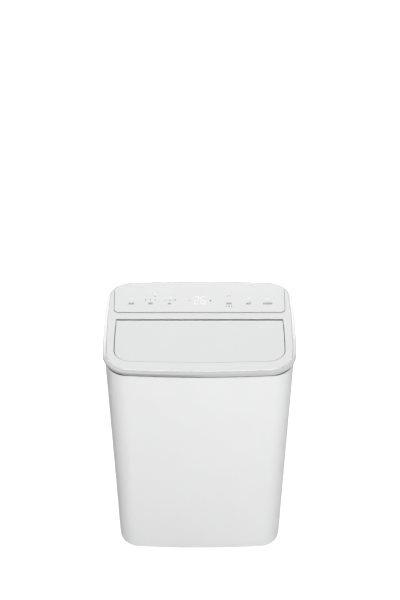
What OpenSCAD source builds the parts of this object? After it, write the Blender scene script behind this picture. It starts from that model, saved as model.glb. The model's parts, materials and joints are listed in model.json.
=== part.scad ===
// Portable air conditioner on casters: a tapered two-part cabinet, a floating top cover with a
// touch panel and a swinging outlet flap, and the whole refrigeration and air system inside.
// Millimetres, +Z up, floor at z = 0, front towards -Y. Plan sizes are drawn about the cover's
// centre and shifted back as a whole, so that the origin is below the middle of the product.

/* [Top cover] */
// Width of the top cover at its widest
cover_w = 440; // [432:2:470]
// Depth of the top cover at its deepest
cover_d = 308; // [304:2:330]
// Height of the deck above the floor
deck_z = 705; // [700:5:760]
// Plan radius of the cover's front corners
cover_front_r = 57; // [50:1:64]
// Plan radius of the cover's rear corners
cover_rear_r = 50; // [46:1:58]
// Bow of the cover's front edge
front_bow = 8.8; // [4:0.2:12]
// Bow of the cover's back edge
back_bow = 7.7; // [4:0.1:10]
// Bow of the cover's side edges
side_bow = 5.9; // [3:0.1:8]
// Plan width of the bright rim band
rim_w = 8.6; // [7:0.1:10]
// Height of the rim band
rim_h = 11.5; // [10:0.5:14]
// Thickness of the deck plate
deck_t = 3; // [2.5:0.1:4]
// Seam between the rim band and the deck
rim_seam = 0.5; // [0.3:0.1:0.8]

/* [Control panel] */
// Distance of the panel's front edge behind the cover's centre
panel_front = 40; // [36:1:50]
// Gap between the panel's rear edge and the rim band
panel_margin = 3; // [2:0.5:6]
// Distance from the cover's side to the panel's side
panel_inset = 21; // [18:0.5:26]
// Corner radius of the panel's front corners
panel_r = 11; // [6:1:16]
// Thickness of the panel
panel_t = 2.2; // [1.8:0.1:3]
// How far the panel stands above the deck
panel_proud = 1.2; // [0.6:0.1:1.6]

/* [Outlet flap] */
// Distance from the cover's side to the flap's side
flap_margin = 28; // [27:1:35]
// Rear edge of the flap behind the cover's centre
flap_rear = 18.8; // [14:0.4:22]
// Front edge of the flap ahead of the cover's centre
flap_front = 117.6; // [110:0.2:122]
// Radius of the flap's front corners
flap_r = 33; // [24:1:40]
// Bow of the flap's front edge
flap_bow = 6; // [2:0.5:8]
// Thickness of the flap plate
flap_t = 3; // [2.4:0.1:4]
// Radius of the rolled hinge edge
hinge_roll_r = 8; // [7:0.5:9]
// Radius of the hinge pins
hinge_pin_r = 2.5; // [2:0.1:3]
// Gap beside the flap
flap_side_gap = 1.6; // [1:0.1:2.4]
// Gap behind the hinge roll
flap_rear_gap = 1.9; // [1.5:0.1:3]
// Gap in front of the flap
flap_front_gap = 1.1; // [0.8:0.1:2]

/* [Air guide vanes] */
// Number of vanes across the outlet
vane_count = 6; // [6:1:6]
// Distance between vane pivots
vane_pitch = 56; // [50:1:58]
// Height of a vane
vane_h = 32; // [26:1:36]
// Thickness of a vane
vane_t = 2; // [1.6:0.1:2.6]
// Depth of the vane pivots below the deck
vane_drop = 37; // [35:1:42]

/* [Casing] */
// Gap between the rim band and the casing's top edge
reveal = 8; // [5:0.5:12]
// How far the casing stands inside the cover at the top
casing_inset = 5; // [4:0.5:8]
// Further inset of the casing's front face
front_inset = 1.5; // [0:0.5:4]
// Draft of the sides and the front in degrees
draft = 0.86; // [0:0.02:1]
// Radius of the casing's front corners
casing_front_r = 44; // [40:1:56]
// Radius of the casing's rear corners
casing_rear_r = 45; // [40:1:52]
// Wall thickness of the casing
wall = 2.5; // [2:0.1:3]
// Set-back of the flat rear face from the cover's back edge
rear_set = 11; // [9:0.5:13]
// Distance from a handle opening to the line between the front and rear casings
split_margin = 8; // [7:1:20]
// Clearance between mouldings that plug together
fit_gap = 0.3; // [0.2:0.05:0.5]

/* [Carry handles] */
// Length of a handle opening
handle_w = 112; // [100:2:130]
// Height of a handle opening
handle_h = 34; // [30:1:40]
// Depth of a handle recess
handle_d = 26; // [22:1:28]
// Distance of a handle's lower edge below the deck
handle_drop = 142; // [136:1:150]

/* [Grilles] */
// Distance from the cover's side to the side of the grille openings
grille_margin = 62; // [60:1:75]
// Height of the upper grille opening
upper_grille_h = 160; // [140:5:165]
// Height of the lower grille opening
lower_grille_h = 168; // [150:4:172]
// Pitch of the grille slats
slat_pitch = 10.5; // [9:0.5:14]
// Thickness of a slat
slat_t = 1.6; // [1.2:0.1:2]
// Width of the flange round a grille
grille_flange = 6; // [4:0.5:6]

/* [Exhaust port] */
// Bore radius of the exhaust collar
port_r = 70; // [62:1:72]
// Wall thickness of the collar
port_wall = 4; // [3:0.5:5]
// Length of the collar behind the casing
port_proud = 37; // [30:1:45]
// Height of the port's centre above the floor
port_z = 345; // [343:1:348]

/* [Base and casters] */
// Height of the base pan's outer wall
base_h = 22; // [20:1:26]
// Thickness of the pan's floor
pan_t = 3; // [2.5:0.1:4]
// Radius of a caster wheel
wheel_r = 15; // [14:0.5:16.5]
// Width of a caster wheel
wheel_w = 10; // [9:0.5:12]
// Gap between the wheels and the base above them
base_gap = 6; // [5:0.5:8]
// Trail of the wheels behind the swivel axis
caster_trail = 12; // [11:0.5:14]
// Distance from the base's edge to the circle that a caster turns in
caster_edge = 14; // [12:1:24]
// Radius of a caster stem
stem_r = 5.5; // [4.5:0.1:6]

/* [Refrigeration] */
// Radius of the compressor shell
compressor_r = 55; // [48:1:56]
// Height of the compressor shell
compressor_h = 225; // [200:5:240]
// Thickness of both heat exchangers
coil_t = 35; // [28:1:36]
// Distance from the side of a grille opening to the side of its heat exchanger
coil_margin = 2; // [2:1:12]
// Height of the evaporator
evaporator_h = 166; // [150:2:170]
// Height of the condenser
condenser_h = 186; // [170:2:186]
// Radius of the copper pipes
pipe_r = 4; // [3:0.5:4.5]

/* [Blowers] */
// Radius of the evaporator blower wheel
upper_wheel_r = 82; // [74:1:83]
// Radius of the condenser blower wheel
lower_wheel_r = 76; // [70:1:78]
// Depth of both blower housings
blower_d = 82; // [76:1:84]
// Wall thickness of the blower housings
scroll_t = 2.5; // [2:0.1:3]
// Number of blades on a blower wheel
blade_count = 32; // [24:1:40]
// Radius of the motor shafts
shaft_r = 4; // [3:0.5:5]

/* [Hidden] */

$fn = 48;
run_gap = 0.05;
cut = 1;

// Plan references
half_w = cover_w / 2;
half_d = cover_d / 2;
back_y = half_d - rear_set;
cabinet_y = -(back_y + port_proud - half_d) / 2;

// Levels of the cover and casing
rim_under = deck_z - rim_h;
casing_top = rim_under - reveal;
base_z = 2 * wheel_r + base_gap;
base_top = base_z + base_h;
pan_floor = base_z + pan_t;
ledge_drop = 8.5;
ledge_w = 15;
frame_t = 2.5;
frame_skirt = 22;
frame_lip_t = 1.5;

// Heat exchangers, standing against the rear wall
grille_w = cover_w - 2 * grille_margin;
coil_w = grille_w - 2 * coil_margin;
filter_t = 2.4;
plug_d = 13;
coil_rear = back_y - plug_d - 2.5;
coil_front = coil_rear - coil_t;
condenser_lift = 40;
condenser_z = base_z + condenser_lift;
plate_t = 3;
low_floor = port_z + 7;
high_floor = port_z + port_r + port_wall + 7;
evaporator_z = high_floor + plate_t;
step_y = 6;

// Blowers: both turn about axes along Y
upper_scroll_front = -80;
upper_scroll_r0 = upper_wheel_r + 6;
upper_scroll_growth = 42;
upper_scroll_r1 = upper_scroll_r0 + upper_scroll_growth;
upper_fan_x = -45;
upper_fan_lift = 135;
upper_fan_z = low_floor + plate_t + upper_fan_lift;
lower_scroll_front = coil_front - 5 - blower_d;
lower_scroll_r0 = lower_wheel_r + 8;
lower_scroll_growth = 36;
lower_scroll_r1 = lower_scroll_r0 + lower_scroll_growth;
lower_scroll_margin = 32;
lower_fan_x = half_w - lower_scroll_margin - lower_scroll_r1;
lower_fan_lift = 136;
lower_fan_z = base_z + lower_fan_lift;
lower_out_drop = 42;
lower_out_z = port_z - lower_out_drop;
cutoff_angle = 50;
port_flange = 8;
port_x = half_w - casing_inset - casing_rear_r - port_r - port_wall - port_flange;
port_joint_y = coil_rear - 9;

// Outlet and vanes
flap_w = cover_w - 2 * flap_margin;
hinge_y = flap_rear - hinge_roll_r;
hinge_z = deck_z - hinge_roll_r;
throat_t = 3;
throat_h = 50;
throat_low = deck_z - deck_t - throat_h;
duct_low = throat_low - 42;
vane_z = deck_z - vane_drop;
vane_back = 0;
vane_len = 96;
vane_pin_r = 2;
bar_t = 3;
bar_h = 14;
link_drop = vane_h / 2 - 2.5;
link_y = vane_back - vane_len / 2;
link_w = 4;
link_h = 6;
link_pin_r = 1.5;
link_slot = link_w + 4;

// Casters
stem_len = 20;
axle_r = 3;
web_w = 8;
hood_r = wheel_r + 3.5;
yoke_w = web_w + 2 * wheel_w + 2;
shoulder_r = 13;
seat_r = shoulder_r + 1.5;
seat_depth = 2;
caster_sweep = norm([caster_trail + hood_r, yoke_w / 2]);
base_inset = casing_inset + (casing_top - base_top) * tan(draft);
caster_x = half_w - base_inset - caster_edge - caster_sweep;
caster_front_y = base_inset + front_inset + caster_edge + caster_sweep - half_d;
caster_rear_y = back_y - caster_edge - caster_sweep;

// Grilles
upper_grille_z = evaporator_z + 14;
lower_grille_z = condenser_z + 6;
grille_r = 12;
flange_t = 2.5;

// Drains and cord
spout_r = 7.5;
spout_bore = 5;
upper_spout_x = -60;
upper_spout_z = high_floor - 19;
lower_spout_x = -40;
lower_spout_z = base_z + 12;
spout_proud = 14;
cap_r = 11;
cap_l = 12;
cord_x = -130;
cord_z = port_z - 10;
cord_r = 4.2;

// Compressor
compressor_margin = 45;
compressor_x = compressor_r + compressor_margin - half_w;
compressor_y = -20;
foot_h = 16;
foot_boss_h = 9;
leg_r = compressor_r + 11;
compressor_z = pan_floor + foot_boss_h + foot_h;
tank_r = 20;
tank_gap = 4;
tank_angle = 125;
tank_reach = compressor_r + tank_r + tank_gap;
tank_x = compressor_x + tank_reach * cos(tank_angle);
tank_y = compressor_y + tank_reach * sin(tank_angle);
tank_dome = 14;
tank_z = compressor_z + 50;
tank_top = compressor_z + compressor_h - 45;

// Splash wheel and float in the pan
splash_x = compressor_x + compressor_r + 20;
splash_y = coil_front - 8;
splash_r = 24;
splash_lift = 7;
splash_z = pan_floor + splash_r + splash_lift;
float_x = half_w - 70;
float_y = -half_d + 130;
screw_r = 1.5;

// Electrical box on the right of the upper blower
box_x0 = upper_fan_x + upper_scroll_r1 + 32;
box_x1 = half_w - 20;
box_y0 = -half_d + 46;
box_len = 98;
box_h = 180;
box_t = 2;

// Display board and flap motor
display_margin = 29;
display_w = cover_w - 2 * (panel_inset + display_margin);
key_margin = 12;
key_pitch = 44;
display_y0 = panel_front + 12;
display_y1 = panel_front + 62;
throat_x = flap_w / 2 + flap_side_gap + throat_t;
pin_reach = throat_x + 2.5;
motor_r = 12;
motor_drop = 14;
motor_l = 12;
motor_boss_r = 4.5;

// Handles, joint line of the casings and rear screws
handle_z = deck_z - handle_drop;
split_y = handle_w / 2 + split_margin;
screw_x = grille_w / 2 + 12;
screw_low_z = base_top + 9;
screw_mid_z = high_floor + plate_t + 6;
screw_top_z = casing_top - frame_skirt / 2;
screw_levels = [screw_low_z, screw_mid_z, screw_top_z];

// Places of the four casters
caster_places = [[-1, caster_front_y], [1, caster_front_y], [-1, caster_rear_y],
    [1, caster_rear_y]];

// Refrigerant pipes
suction_x = -coil_w / 2 - 30;
suction_y = coil_front + coil_t / 2;
liquid_x = -coil_w / 2 - 18;
liquid_y = coil_rear - 5;
sump_w = 44;

// Motors of the blowers and of the splash wheel
upper_motor_l = 46;
lower_motor_l = 48;
splash_d = 12;
splash_disc_t = 1.6;
splash_motor_l = 24;
splash_motor_y = splash_y - splash_d - 3 - splash_motor_l;

// ---- outlines -------------------------------------------------------------------------------

// Quarter arc in plan
function arc(cx, cy, r, a0) =
    [for (i = [0:12]) [cx + r * cos(a0 + 7.5 * i), cy + r * sin(a0 + 7.5 * i)]];

// Points between two ends, both left out
function between(p, q, n) = [for (i = [1:n - 1]) p + (q - p) * i / n];

// Rounded plan with half width w from yf to yr: front and rear radii, then the bows of the
// sides, the front and the back
function plan(w, yf, yr, rf, rr, bs, bf, br) =
    let (c = (yf + yr) / 2,
        d = (yr - yf) / 2,
        a = arc(w - rf, yf + rf, rf, 270),
        b = arc(w - rr, yr - rr, rr, 0),
        e = arc(rr - w, yr - rr, rr, 90),
        g = arc(rf - w, yf + rf, rf, 180),
        ring = concat(a, between(a[12], b[0], 4), b, between(b[12], e[0], 8), e,
            between(e[12], g[0], 4), g, between(g[12], a[0], 8)))
    [for (p = ring) [p.x * (1 - bs / w * pow((p.y - c) / d, 2)),
        c + (p.y - c) * (1 - (p.y < c ? bf : br) / d * pow(p.x / w, 2))]];

// Cover outline, moved in by e
function cover_plan(e) = plan(half_w - e, e - half_d, half_d - e, cover_front_r - e,
    cover_rear_r - e, side_bow, front_bow, back_bow);

// Casing outline at height z, moved in by e: drafted sides and front, flat back
function casing_plan(e, z) =
    let (in = casing_inset + (casing_top - z) * tan(draft),
        ring = plan(half_w - in - e, in + front_inset + e - half_d, half_d - casing_inset - e,
            casing_front_r - e, casing_rear_r - e, side_bow, front_bow, back_bow))
    [for (p = ring) [p.x, min(p.y, back_y - e)]];

// Flap outline, grown by gaps at the sides, front and rear
function flap_plan(gs, gf, gr) = plan(flap_w / 2 + gs, -flap_front - gf, flap_rear + gr,
    flap_r + gf, 1.5, 2, flap_bow, 0);

// Spiral of a blower housing, opening towards +X
function spiral(cx, cz, r0, r1) = [for (i = [0:40])
    let (a = cutoff_angle + (360 - cutoff_angle) * i / 40, r = r0 + (r1 - r0) * i / 40)
    [cx + r * cos(a), cz + r * sin(a)]];

// ---- building blocks ------------------------------------------------------------------------

// Puts the plan-centred model over the frame's origin
module placed() {
    translate([0, cabinet_y, 0])
        children();
}

// Skin through a stack of [outline, height] sections; a loop joins the last to the first
module loft(sections, loop = false) {
    n = len(sections[0][0]);
    m = len(sections);
    last = loop ? m - 1 : m - 2;
    points = [for (s = sections, p = s[0]) [p.x, p.y, s[1]]];
    skin = [for (k = [0:last], i = [0:n - 1])
        let (j = (i + 1) % n, a = k * n, b = ((k + 1) % m) * n)
        each [[a + i, b + j, a + j], [a + i, b + i, b + j]]];
    ends = loop ? [] : [[for (i = [0:n - 1]) i], [for (i = [n - 1:-1:0]) (m - 1) * n + i]];
    polyhedron(points, concat(skin, ends));
}

// Closed volume e inside the casing's outer face, from z0 to z1
module casing_volume(e, z0, z1) {
    loft([[casing_plan(e, z0), z0], [casing_plan(e, z1), z1]]);
}

// Flat shape drawn in X and Z, given depth along Y from y0
module along_y(y0, depth) {
    translate([0, y0 + depth, 0])
        rotate([90, 0, 0])
            linear_extrude(depth)
                children();
}

module rod_y(x, z, y0, length, r) {
    translate([x, y0, z])
        rotate([-90, 0, 0])
            cylinder(r = r, h = length);
}

module rod_x(x0, length, y, z, r) {
    translate([x0, y, z])
        rotate([0, 90, 0])
            cylinder(r = r, h = length);
}

// Box centred on X
module slab(x, width, y0, y1, z0, z1) {
    translate([x - width / 2, y0, z0])
        cube([width, y1 - y0, z1 - z0]);
}

// Rounded rectangle in X and Z with its lower edge at z0
module window(width, z0, height, r) {
    polygon(concat(
        [for (p = arc(width / 2 - r, z0 + r, r, 270)) p],
        [for (p = arc(width / 2 - r, z0 + height - r, r, 0)) p],
        [for (p = arc(r - width / 2, z0 + height - r, r, 90)) p],
        [for (p = arc(r - width / 2, z0 + r, r, 180)) p]));
}

// Pipe through a list of corners, with round elbows
module pipe(route, r) {
    for (i = [0:len(route) - 2]) {
        d = route[i + 1] - route[i];
        translate(route[i])
            rotate([0, acos(d.z / norm(d)), atan2(d.y, d.x)])
                cylinder(r = r, h = norm(d), $fn = 24);
    }
    for (i = [1:len(route) - 2])
        translate(route[i])
            sphere(r = r, $fn = 24);
}

// ---- top cover ------------------------------------------------------------------------------

// Glossy band round the cover with a rolled outer edge and an inner ledge for the deck
module top_rim() {
    section = [[rim_w, 0], [5, 0.45], [2.4, 1.5], [0.8, 3], [0, 5.2], [0, rim_h - 3.2],
        [0.4, rim_h - 1.7], [1.4, rim_h - 0.5], [2.8, rim_h], [3.6, rim_h],
        [3.6, ledge_drop], [ledge_w, ledge_drop], [ledge_w, deck_t], [rim_w, deck_t]];
    placed()
        color("white")
            loft([for (s = section) [cover_plan(s[0]), deck_z - s[1]]], loop = true);
}

// Dark neck between cover and casing: it stands on the casing's edge and carries the rim
module top_frame() {
    outer = wall + fit_gap;
    placed()
        color("#2b2d30")
            difference() {
                union() {
                    casing_volume(outer, casing_top - frame_skirt, deck_z - ledge_drop);
                    casing_volume(1, casing_top, casing_top + frame_lip_t);
                }
                casing_volume(outer + frame_t, casing_top - frame_skirt - cut, deck_z);
                for (x = [-1, 1])
                    rod_y(x * screw_x, screw_top_z, back_y - wall - 10, 12, screw_r + run_gap);
            }
}

// Matt deck with the outlet opening and the seat of the control panel
module top_deck() {
    placed()
        color("#e9eaeb")
            difference() {
                translate([0, 0, deck_z - deck_t])
                    linear_extrude(deck_t)
                        polygon(cover_plan(rim_w + rim_seam));
                translate([0, 0, deck_z - deck_t - cut])
                    linear_extrude(deck_t + 2 * cut)
                        polygon(flap_plan(flap_side_gap, flap_front_gap, flap_rear_gap));
                translate([0, 0, deck_z + panel_proud - panel_t])
                    linear_extrude(panel_t)
                        panel_shape(0.2);
                slab(0, display_w - 20, display_y0 + 8, display_y1 - 8, deck_z - deck_t - cut,
                    deck_z);
            }
}

// Panel outline, grown by a gap: it follows the rim behind and has round front corners
module panel_shape(gap) {
    intersection() {
        polygon(cover_plan(rim_w + panel_margin - gap));
        polygon(plan(half_w - panel_inset + gap, panel_front - gap, half_d + 60, panel_r + gap,
            2, 1.5, 0, 0));
    }
}

// Touch panel: a thin raised plate with the display shining through it
module control_panel() {
    placed()
        color("#ededee")
            translate([0, 0, deck_z + panel_proud - panel_t])
                linear_extrude(panel_t)
                    panel_shape(0);
}

// Circuit board of the display, on posts below the deck, with two digits and touch pads
module display_board() {
    board_z = deck_z - deck_t - 9;
    placed()
        color("#2f6b45") {
            slab(0, display_w, display_y0, display_y1, board_z, board_z + 1.6);
            for (x = [-1, 1], y = [display_y0 + 4, display_y1 - 4])
                translate([x * (display_w / 2 - 5), y, board_z])
                    cylinder(r = 3, h = 9);
            slab(0, 34, display_y0 + 12, display_y1 - 10, board_z + 1, board_z + 8);
            for (s = [-1, 1], i = [0:(s < 0 ? 2 : 3)])
                translate([s * (display_w / 2 - key_margin - i * key_pitch), display_y0 + 24,
                    board_z + 1])
                    cylinder(r = 5, h = 6);
        }
}

// Flap over the outlet, hinged along its rolled rear edge
module outlet_flap() {
    rib_h = 4;
    placed()
        color("#e7e8e9") {
            intersection() {
                translate([0, 0, deck_z - flap_t])
                    linear_extrude(flap_t)
                        polygon(flap_plan(0, 0, 0));
                slab(0, flap_w + 2 * cut, -half_d, hinge_y, deck_z - flap_t - cut, deck_z + cut);
            }
            rod_x(-flap_w / 2 + 1, flap_w - 2, hinge_y, hinge_z, hinge_roll_r);
            rod_x(-pin_reach, 2 * pin_reach, hinge_y, hinge_z, hinge_pin_r);
            for (y = [-flap_front + 30, hinge_y - 34])
                slab(0, flap_w - 2 * flap_r, y, y + 2.5, deck_z - flap_t - rib_h, deck_z - flap_t);
            for (x = [-2:2])
                slab(x * flap_w / 5.5, 2.5, -flap_front + 30, hinge_y - 32, deck_z - flap_t - rib_h,
                    deck_z - flap_t);
        }
}

// Stepping motor that swings the flap, on the right wall of the throat
module flap_motor() {
    placed()
        color("#c9cccf")
            difference() {
                union() {
                    rod_x(throat_x, motor_l, hinge_y, hinge_z - motor_drop, motor_r);
                    rod_x(throat_x, 4, hinge_y, hinge_z, motor_boss_r);
                    slab(throat_x + 2, 4, hinge_y - 5, hinge_y + 5, hinge_z - motor_drop,
                        hinge_z);
                    slab(throat_x + 1, 2, hinge_y - 19, hinge_y + 19, hinge_z - motor_drop - 4,
                        hinge_z - motor_drop + 4);
                }
                rod_x(throat_x - cut, cut + 3, hinge_y, hinge_z, hinge_pin_r + run_gap);
            }
}

// Outlet throat: a collar below the deck, a funnel down to the blower and two pivot bars
module outlet_throat() {
    gs = flap_side_gap;
    gf = flap_front_gap;
    gr = flap_rear_gap;
    t = throat_t;
    placed()
        color("#33363a")
            difference() {
                union() {
                    difference() {
                        union() {
                            translate([0, 0, throat_low])
                                linear_extrude(throat_h)
                                    polygon(flap_plan(gs + t, gf + t, gr + t));
                            translate([0, 0, deck_z - deck_t - 2])
                                linear_extrude(2)
                                    polygon(flap_plan(gs + t + 5, gf + t + 5, gr + t + 5));
                        }
                        translate([0, 0, throat_low - cut])
                            linear_extrude(throat_h + 2 * cut)
                                polygon(flap_plan(gs, gf, gr));
                    }
                    difference() {
                        throat_funnel(t, 0);
                        throat_funnel(0, cut);
                    }
                    intersection() {
                        translate([0, 0, throat_low])
                            linear_extrude(throat_h)
                                polygon(flap_plan(gs + t / 2, gf + t / 2, gr));
                        for (y = [vane_back + bar_t / 2 + fit_gap + 0.1,
                                vane_back - vane_len - bar_t / 2 - fit_gap - 0.1])
                            slab(0, cover_w, y - bar_t / 2, y + bar_t / 2, vane_z - bar_h / 2,
                                vane_z + bar_h / 2);
                    }
                }
                rod_x(-throat_x - cut, 2 * throat_x + 2 * cut, hinge_y, hinge_z,
                    hinge_pin_r + run_gap);
                rod_x(throat_x, 10, hinge_y, hinge_z, motor_boss_r + fit_gap);
                for (i = [1:vane_count])
                    rod_y(vane_x(i), vane_z, vane_back - vane_len - 8, vane_len + 16,
                        vane_pin_r + run_gap);
            }
}

// Funnel between the collar's outline and the blower's discharge, t outside the air path
module throat_funnel(t, extra) {
    x0 = upper_fan_x + upper_scroll_r0 * cos(cutoff_angle) + scroll_t;
    x1 = upper_fan_x + upper_scroll_r1 - scroll_t;
    y0 = upper_scroll_front + scroll_t;
    y1 = upper_scroll_front + blower_d - scroll_t;
    hull() {
        translate([0, 0, throat_low - 0.5])
            linear_extrude(0.5 + extra)
                polygon(flap_plan(flap_side_gap + t, flap_front_gap + t, flap_rear_gap + t));
        translate([x0 - t, y0 - t, duct_low - extra])
            cube([x1 - x0 + 2 * t, y1 - y0 + 2 * t, 1]);
    }
}

function vane_x(i) = (i - (vane_count + 1) / 2) * vane_pitch;

// Guide vane i: a thin blade on two end pins with a bridged slot for the link
module vane(i) {
    x = vane_x(i);
    placed()
        color("#4a4d52") {
            difference() {
                union() {
                    slab(x, vane_t, vane_back - vane_len, vane_back, vane_z - vane_h / 2,
                        vane_z + vane_h / 2 - 1);
                    rod_y(x, vane_z + vane_h / 2 - 1, vane_back - vane_len, vane_len, vane_t / 2);
                    rod_y(x, vane_z, vane_back - vane_len, vane_len, vane_pin_r + 0.5);
                }
                slab(x, vane_t + 2 * cut, link_y - link_slot / 2, link_y + link_slot / 2,
                    vane_z - vane_h / 2 - cut, vane_z - link_drop + 5.5);
            }
            rod_y(x, vane_z, vane_back - vane_len - 3, vane_len + 6, vane_pin_r);
            rod_y(x, vane_z - link_drop, link_y - link_slot / 2 - 1, link_slot + 2, link_pin_r);
        }
}

module vane_1() vane(1);
module vane_2() vane(2);
module vane_3() vane(3);
module vane_4() vane(4);
module vane_5() vane(5);
module vane_6() vane(6);

// Bar that ties the vanes' lower edges together
module vane_link() {
    placed()
        color("#3a3d41")
            difference() {
                slab(0, (vane_count - 1) * vane_pitch + 12, link_y - link_w / 2,
                    link_y + link_w / 2, vane_z - link_drop - link_h / 2,
                    vane_z - link_drop + link_h / 2);
                for (i = [1:vane_count])
                    rod_y(vane_x(i), vane_z - link_drop, link_y - link_w, 2 * link_w,
                        link_pin_r + run_gap);
            }
}

// ---- casing ---------------------------------------------------------------------------------

// Drafted wall all round with a rounded top edge
module casing_shell() {
    difference() {
        loft([[casing_plan(0, base_top), base_top],
            [casing_plan(0, casing_top - 2), casing_top - 2],
            [casing_plan(0.5, casing_top - 0.6), casing_top - 0.6],
            [casing_plan(1.6, casing_top), casing_top]]);
        casing_volume(wall, base_top - cut, casing_top + cut);
    }
}

// Opening of a carry handle through the side wall
module handle_opening() {
    for (x = [-1, 1])
        translate([x * half_w, 0, 0])
            rotate([0, 0, 90])
                along_y(-30, 60)
                    window(handle_w, handle_z, handle_h, 10);
}

// Low ribs inside the front face, clear of what plugs into the casing between z0 and z1
module front_ribs(z0, z1) {
    intersection() {
        difference() {
            casing_volume(wall - 0.5, z0, z1);
            casing_volume(wall + 4, z0 - cut, z1 + cut);
        }
        for (x = [-3:3])
            slab(x * 44, 1.8, -half_d, -half_d + 40, z0, z1);
    }
}

// Front casing: front face and the larger part of both sides, with the handle openings
module front_casing() {
    placed()
        color("white")
            difference() {
                union() {
                    intersection() {
                        casing_shell();
                        slab(0, cover_w, -half_d, split_y - fit_gap / 2, 0, deck_z);
                    }
                    front_ribs(base_top + 24, low_floor - 2);
                    front_ribs(low_floor + plate_t + 2, casing_top - frame_skirt - 6);
                }
                handle_opening();
            }
}

// Rear casing: flat back with both grille openings, the port, the drain and the cord entry
module rear_casing() {
    placed()
        color("white")
            difference() {
                intersection() {
                    casing_shell();
                    slab(0, cover_w, split_y + fit_gap / 2, half_d, 0, deck_z);
                }
                along_y(back_y - 20, 30)
                    window(grille_w, upper_grille_z, upper_grille_h, grille_r);
                along_y(back_y - 20, 30)
                    window(grille_w, lower_grille_z, lower_grille_h, grille_r);
                rod_y(port_x, port_z, back_y - 20, 30, port_r + port_wall + fit_gap);
                rod_y(upper_spout_x, upper_spout_z, back_y - 20, 30, spout_r + fit_gap);
                rod_y(cord_x, cord_z, back_y - 20, 30, cord_r + 3);
                for (x = [-1, 1], z = screw_levels)
                    rod_y(x * screw_x, z, back_y - 20, 30, screw_r + 0.3);
            }
}

// Carry handle on the right: a cup behind the side opening with a finger pocket above
module handle_cup() {
    z0 = handle_z - 4;
    z1 = handle_z + handle_h + 16;
    mouth = half_w - casing_inset;
    difference() {
        intersection() {
            casing_volume(wall, z0 - cut, z1 + cut);
            slab(mouth, 2 * handle_d + 5, -handle_w / 2 - 6, handle_w / 2 + 6, z0, z1);
        }
        translate([mouth - handle_d, 0, 0])
            rotate([0, 0, -90])
                along_y(0, 2 * handle_d)
                    window(handle_w, handle_z, handle_h, 10);
        translate([mouth - handle_d / 2 - 1, 0, 0])
            rotate([0, 0, -90])
                along_y(0, handle_d)
                    window(handle_w, handle_z, handle_h + 12, 10);
    }
}

module right_handle() {
    placed()
        color("#dfe1e3")
            handle_cup();
}

module left_handle() {
    placed()
        color("#dfe1e3")
            mirror([1, 0, 0])
                handle_cup();
}

// ---- rear face ------------------------------------------------------------------------------

// Slatted grille that plugs into an opening of the rear casing; z0 and h are the opening's
module grille(z0, h) {
    w = grille_w - 2 * fit_gap;
    d = plug_d + flange_t;
    n = floor((h - 16) / slat_pitch);
    z_first = z0 + (h - (n - 1) * slat_pitch) / 2;
    placed()
        color("#f2f3f4") {
            difference() {
                union() {
                    along_y(back_y, flange_t)
                        translate([0, -grille_flange])
                            window(grille_w + 2 * grille_flange, z0, h + 2 * grille_flange,
                                grille_r + grille_flange);
                    along_y(back_y - plug_d, plug_d + 0.5)
                        translate([0, fit_gap])
                            window(w, z0, h - 2 * fit_gap, grille_r);
                }
                along_y(back_y - plug_d - cut, d + 2 * cut)
                    translate([0, fit_gap + 4])
                        window(w - 8, z0, h - 2 * fit_gap - 8, grille_r - 4);
            }
            for (i = [0:n - 1])
                translate([0, back_y - 3.4, z_first + i * slat_pitch])
                    rotate([-30, 0, 0])
                        cube([w - 7, 9, slat_t], center = true);
            for (x = [-1:1])
                slab(x * w / 4, 2.4, back_y - plug_d + 2, back_y - 1, z0 + 3, z0 + h - 3);
        }
}

// Dust filter clipped behind a grille: a thin frame, cross ribs and the mesh sheet
module filter(z0, h) {
    w = grille_w - 2 * fit_gap - 8.6;
    y = back_y - plug_d + 2 - filter_t;
    placed()
        color("#55585c") {
            difference() {
                along_y(y, filter_t)
                    window(w, z0 + 4.8, h - 9.6, grille_r - 4 - fit_gap);
                for (i = [0:3], j = [0:2])
                    slab((i - 1.5) * w / 4, w / 4 - 4, y - cut, y + filter_t - 0.5,
                        z0 + 6.8 + j * (h - 11.6) / 3, z0 + 2.8 + (j + 1) * (h - 11.6) / 3);
            }
        }
}

module upper_grille() grille(upper_grille_z, upper_grille_h);
module lower_grille() grille(lower_grille_z, lower_grille_h);
module upper_filter() filter(upper_grille_z, upper_grille_h);
module lower_filter() filter(lower_grille_z, lower_grille_h);

// Round collar that the exhaust hose's adapter plugs into, with a flange and finger guard
module exhaust_collar() {
    outer = port_r + port_wall;
    y0 = port_joint_y;
    y1 = back_y + port_proud;
    guard_t = 3;
    guard_y = y0 + guard_t / 2;
    placed()
        color("#e4e6e8") {
            difference() {
                union() {
                    rod_y(port_x, port_z, y0, y1 - y0, outer);
                    rod_y(port_x, port_z, back_y, 3, outer + port_flange);
                    for (a = [90:120:330])
                        intersection() {
                            rod_y(port_x, port_z, y1 - 14, 5, outer + 3);
                            translate([port_x, y1 - 12, port_z])
                                rotate([0, -a, 0])
                                    translate([outer, 0, 0])
                                        cube([20, 20, 26], center = true);
                        }
                }
                rod_y(port_x, port_z, y0 + guard_t, y1 - y0, port_r);
                rod_y(port_x, port_z, y0 - cut, y1 - y0, port_r - 4);
            }
            for (r = [24, 46])
                translate([port_x, guard_y, port_z])
                    rotate([-90, 0, 0])
                        rotate_extrude()
                            translate([r, 0])
                                square(2.4, center = true);
            for (a = [0:60:120])
                translate([port_x, guard_y, port_z])
                    rotate([0, a, 0])
                        cube([2 * port_r - 6, 2.4, 2.4], center = true);
        }
}

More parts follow.
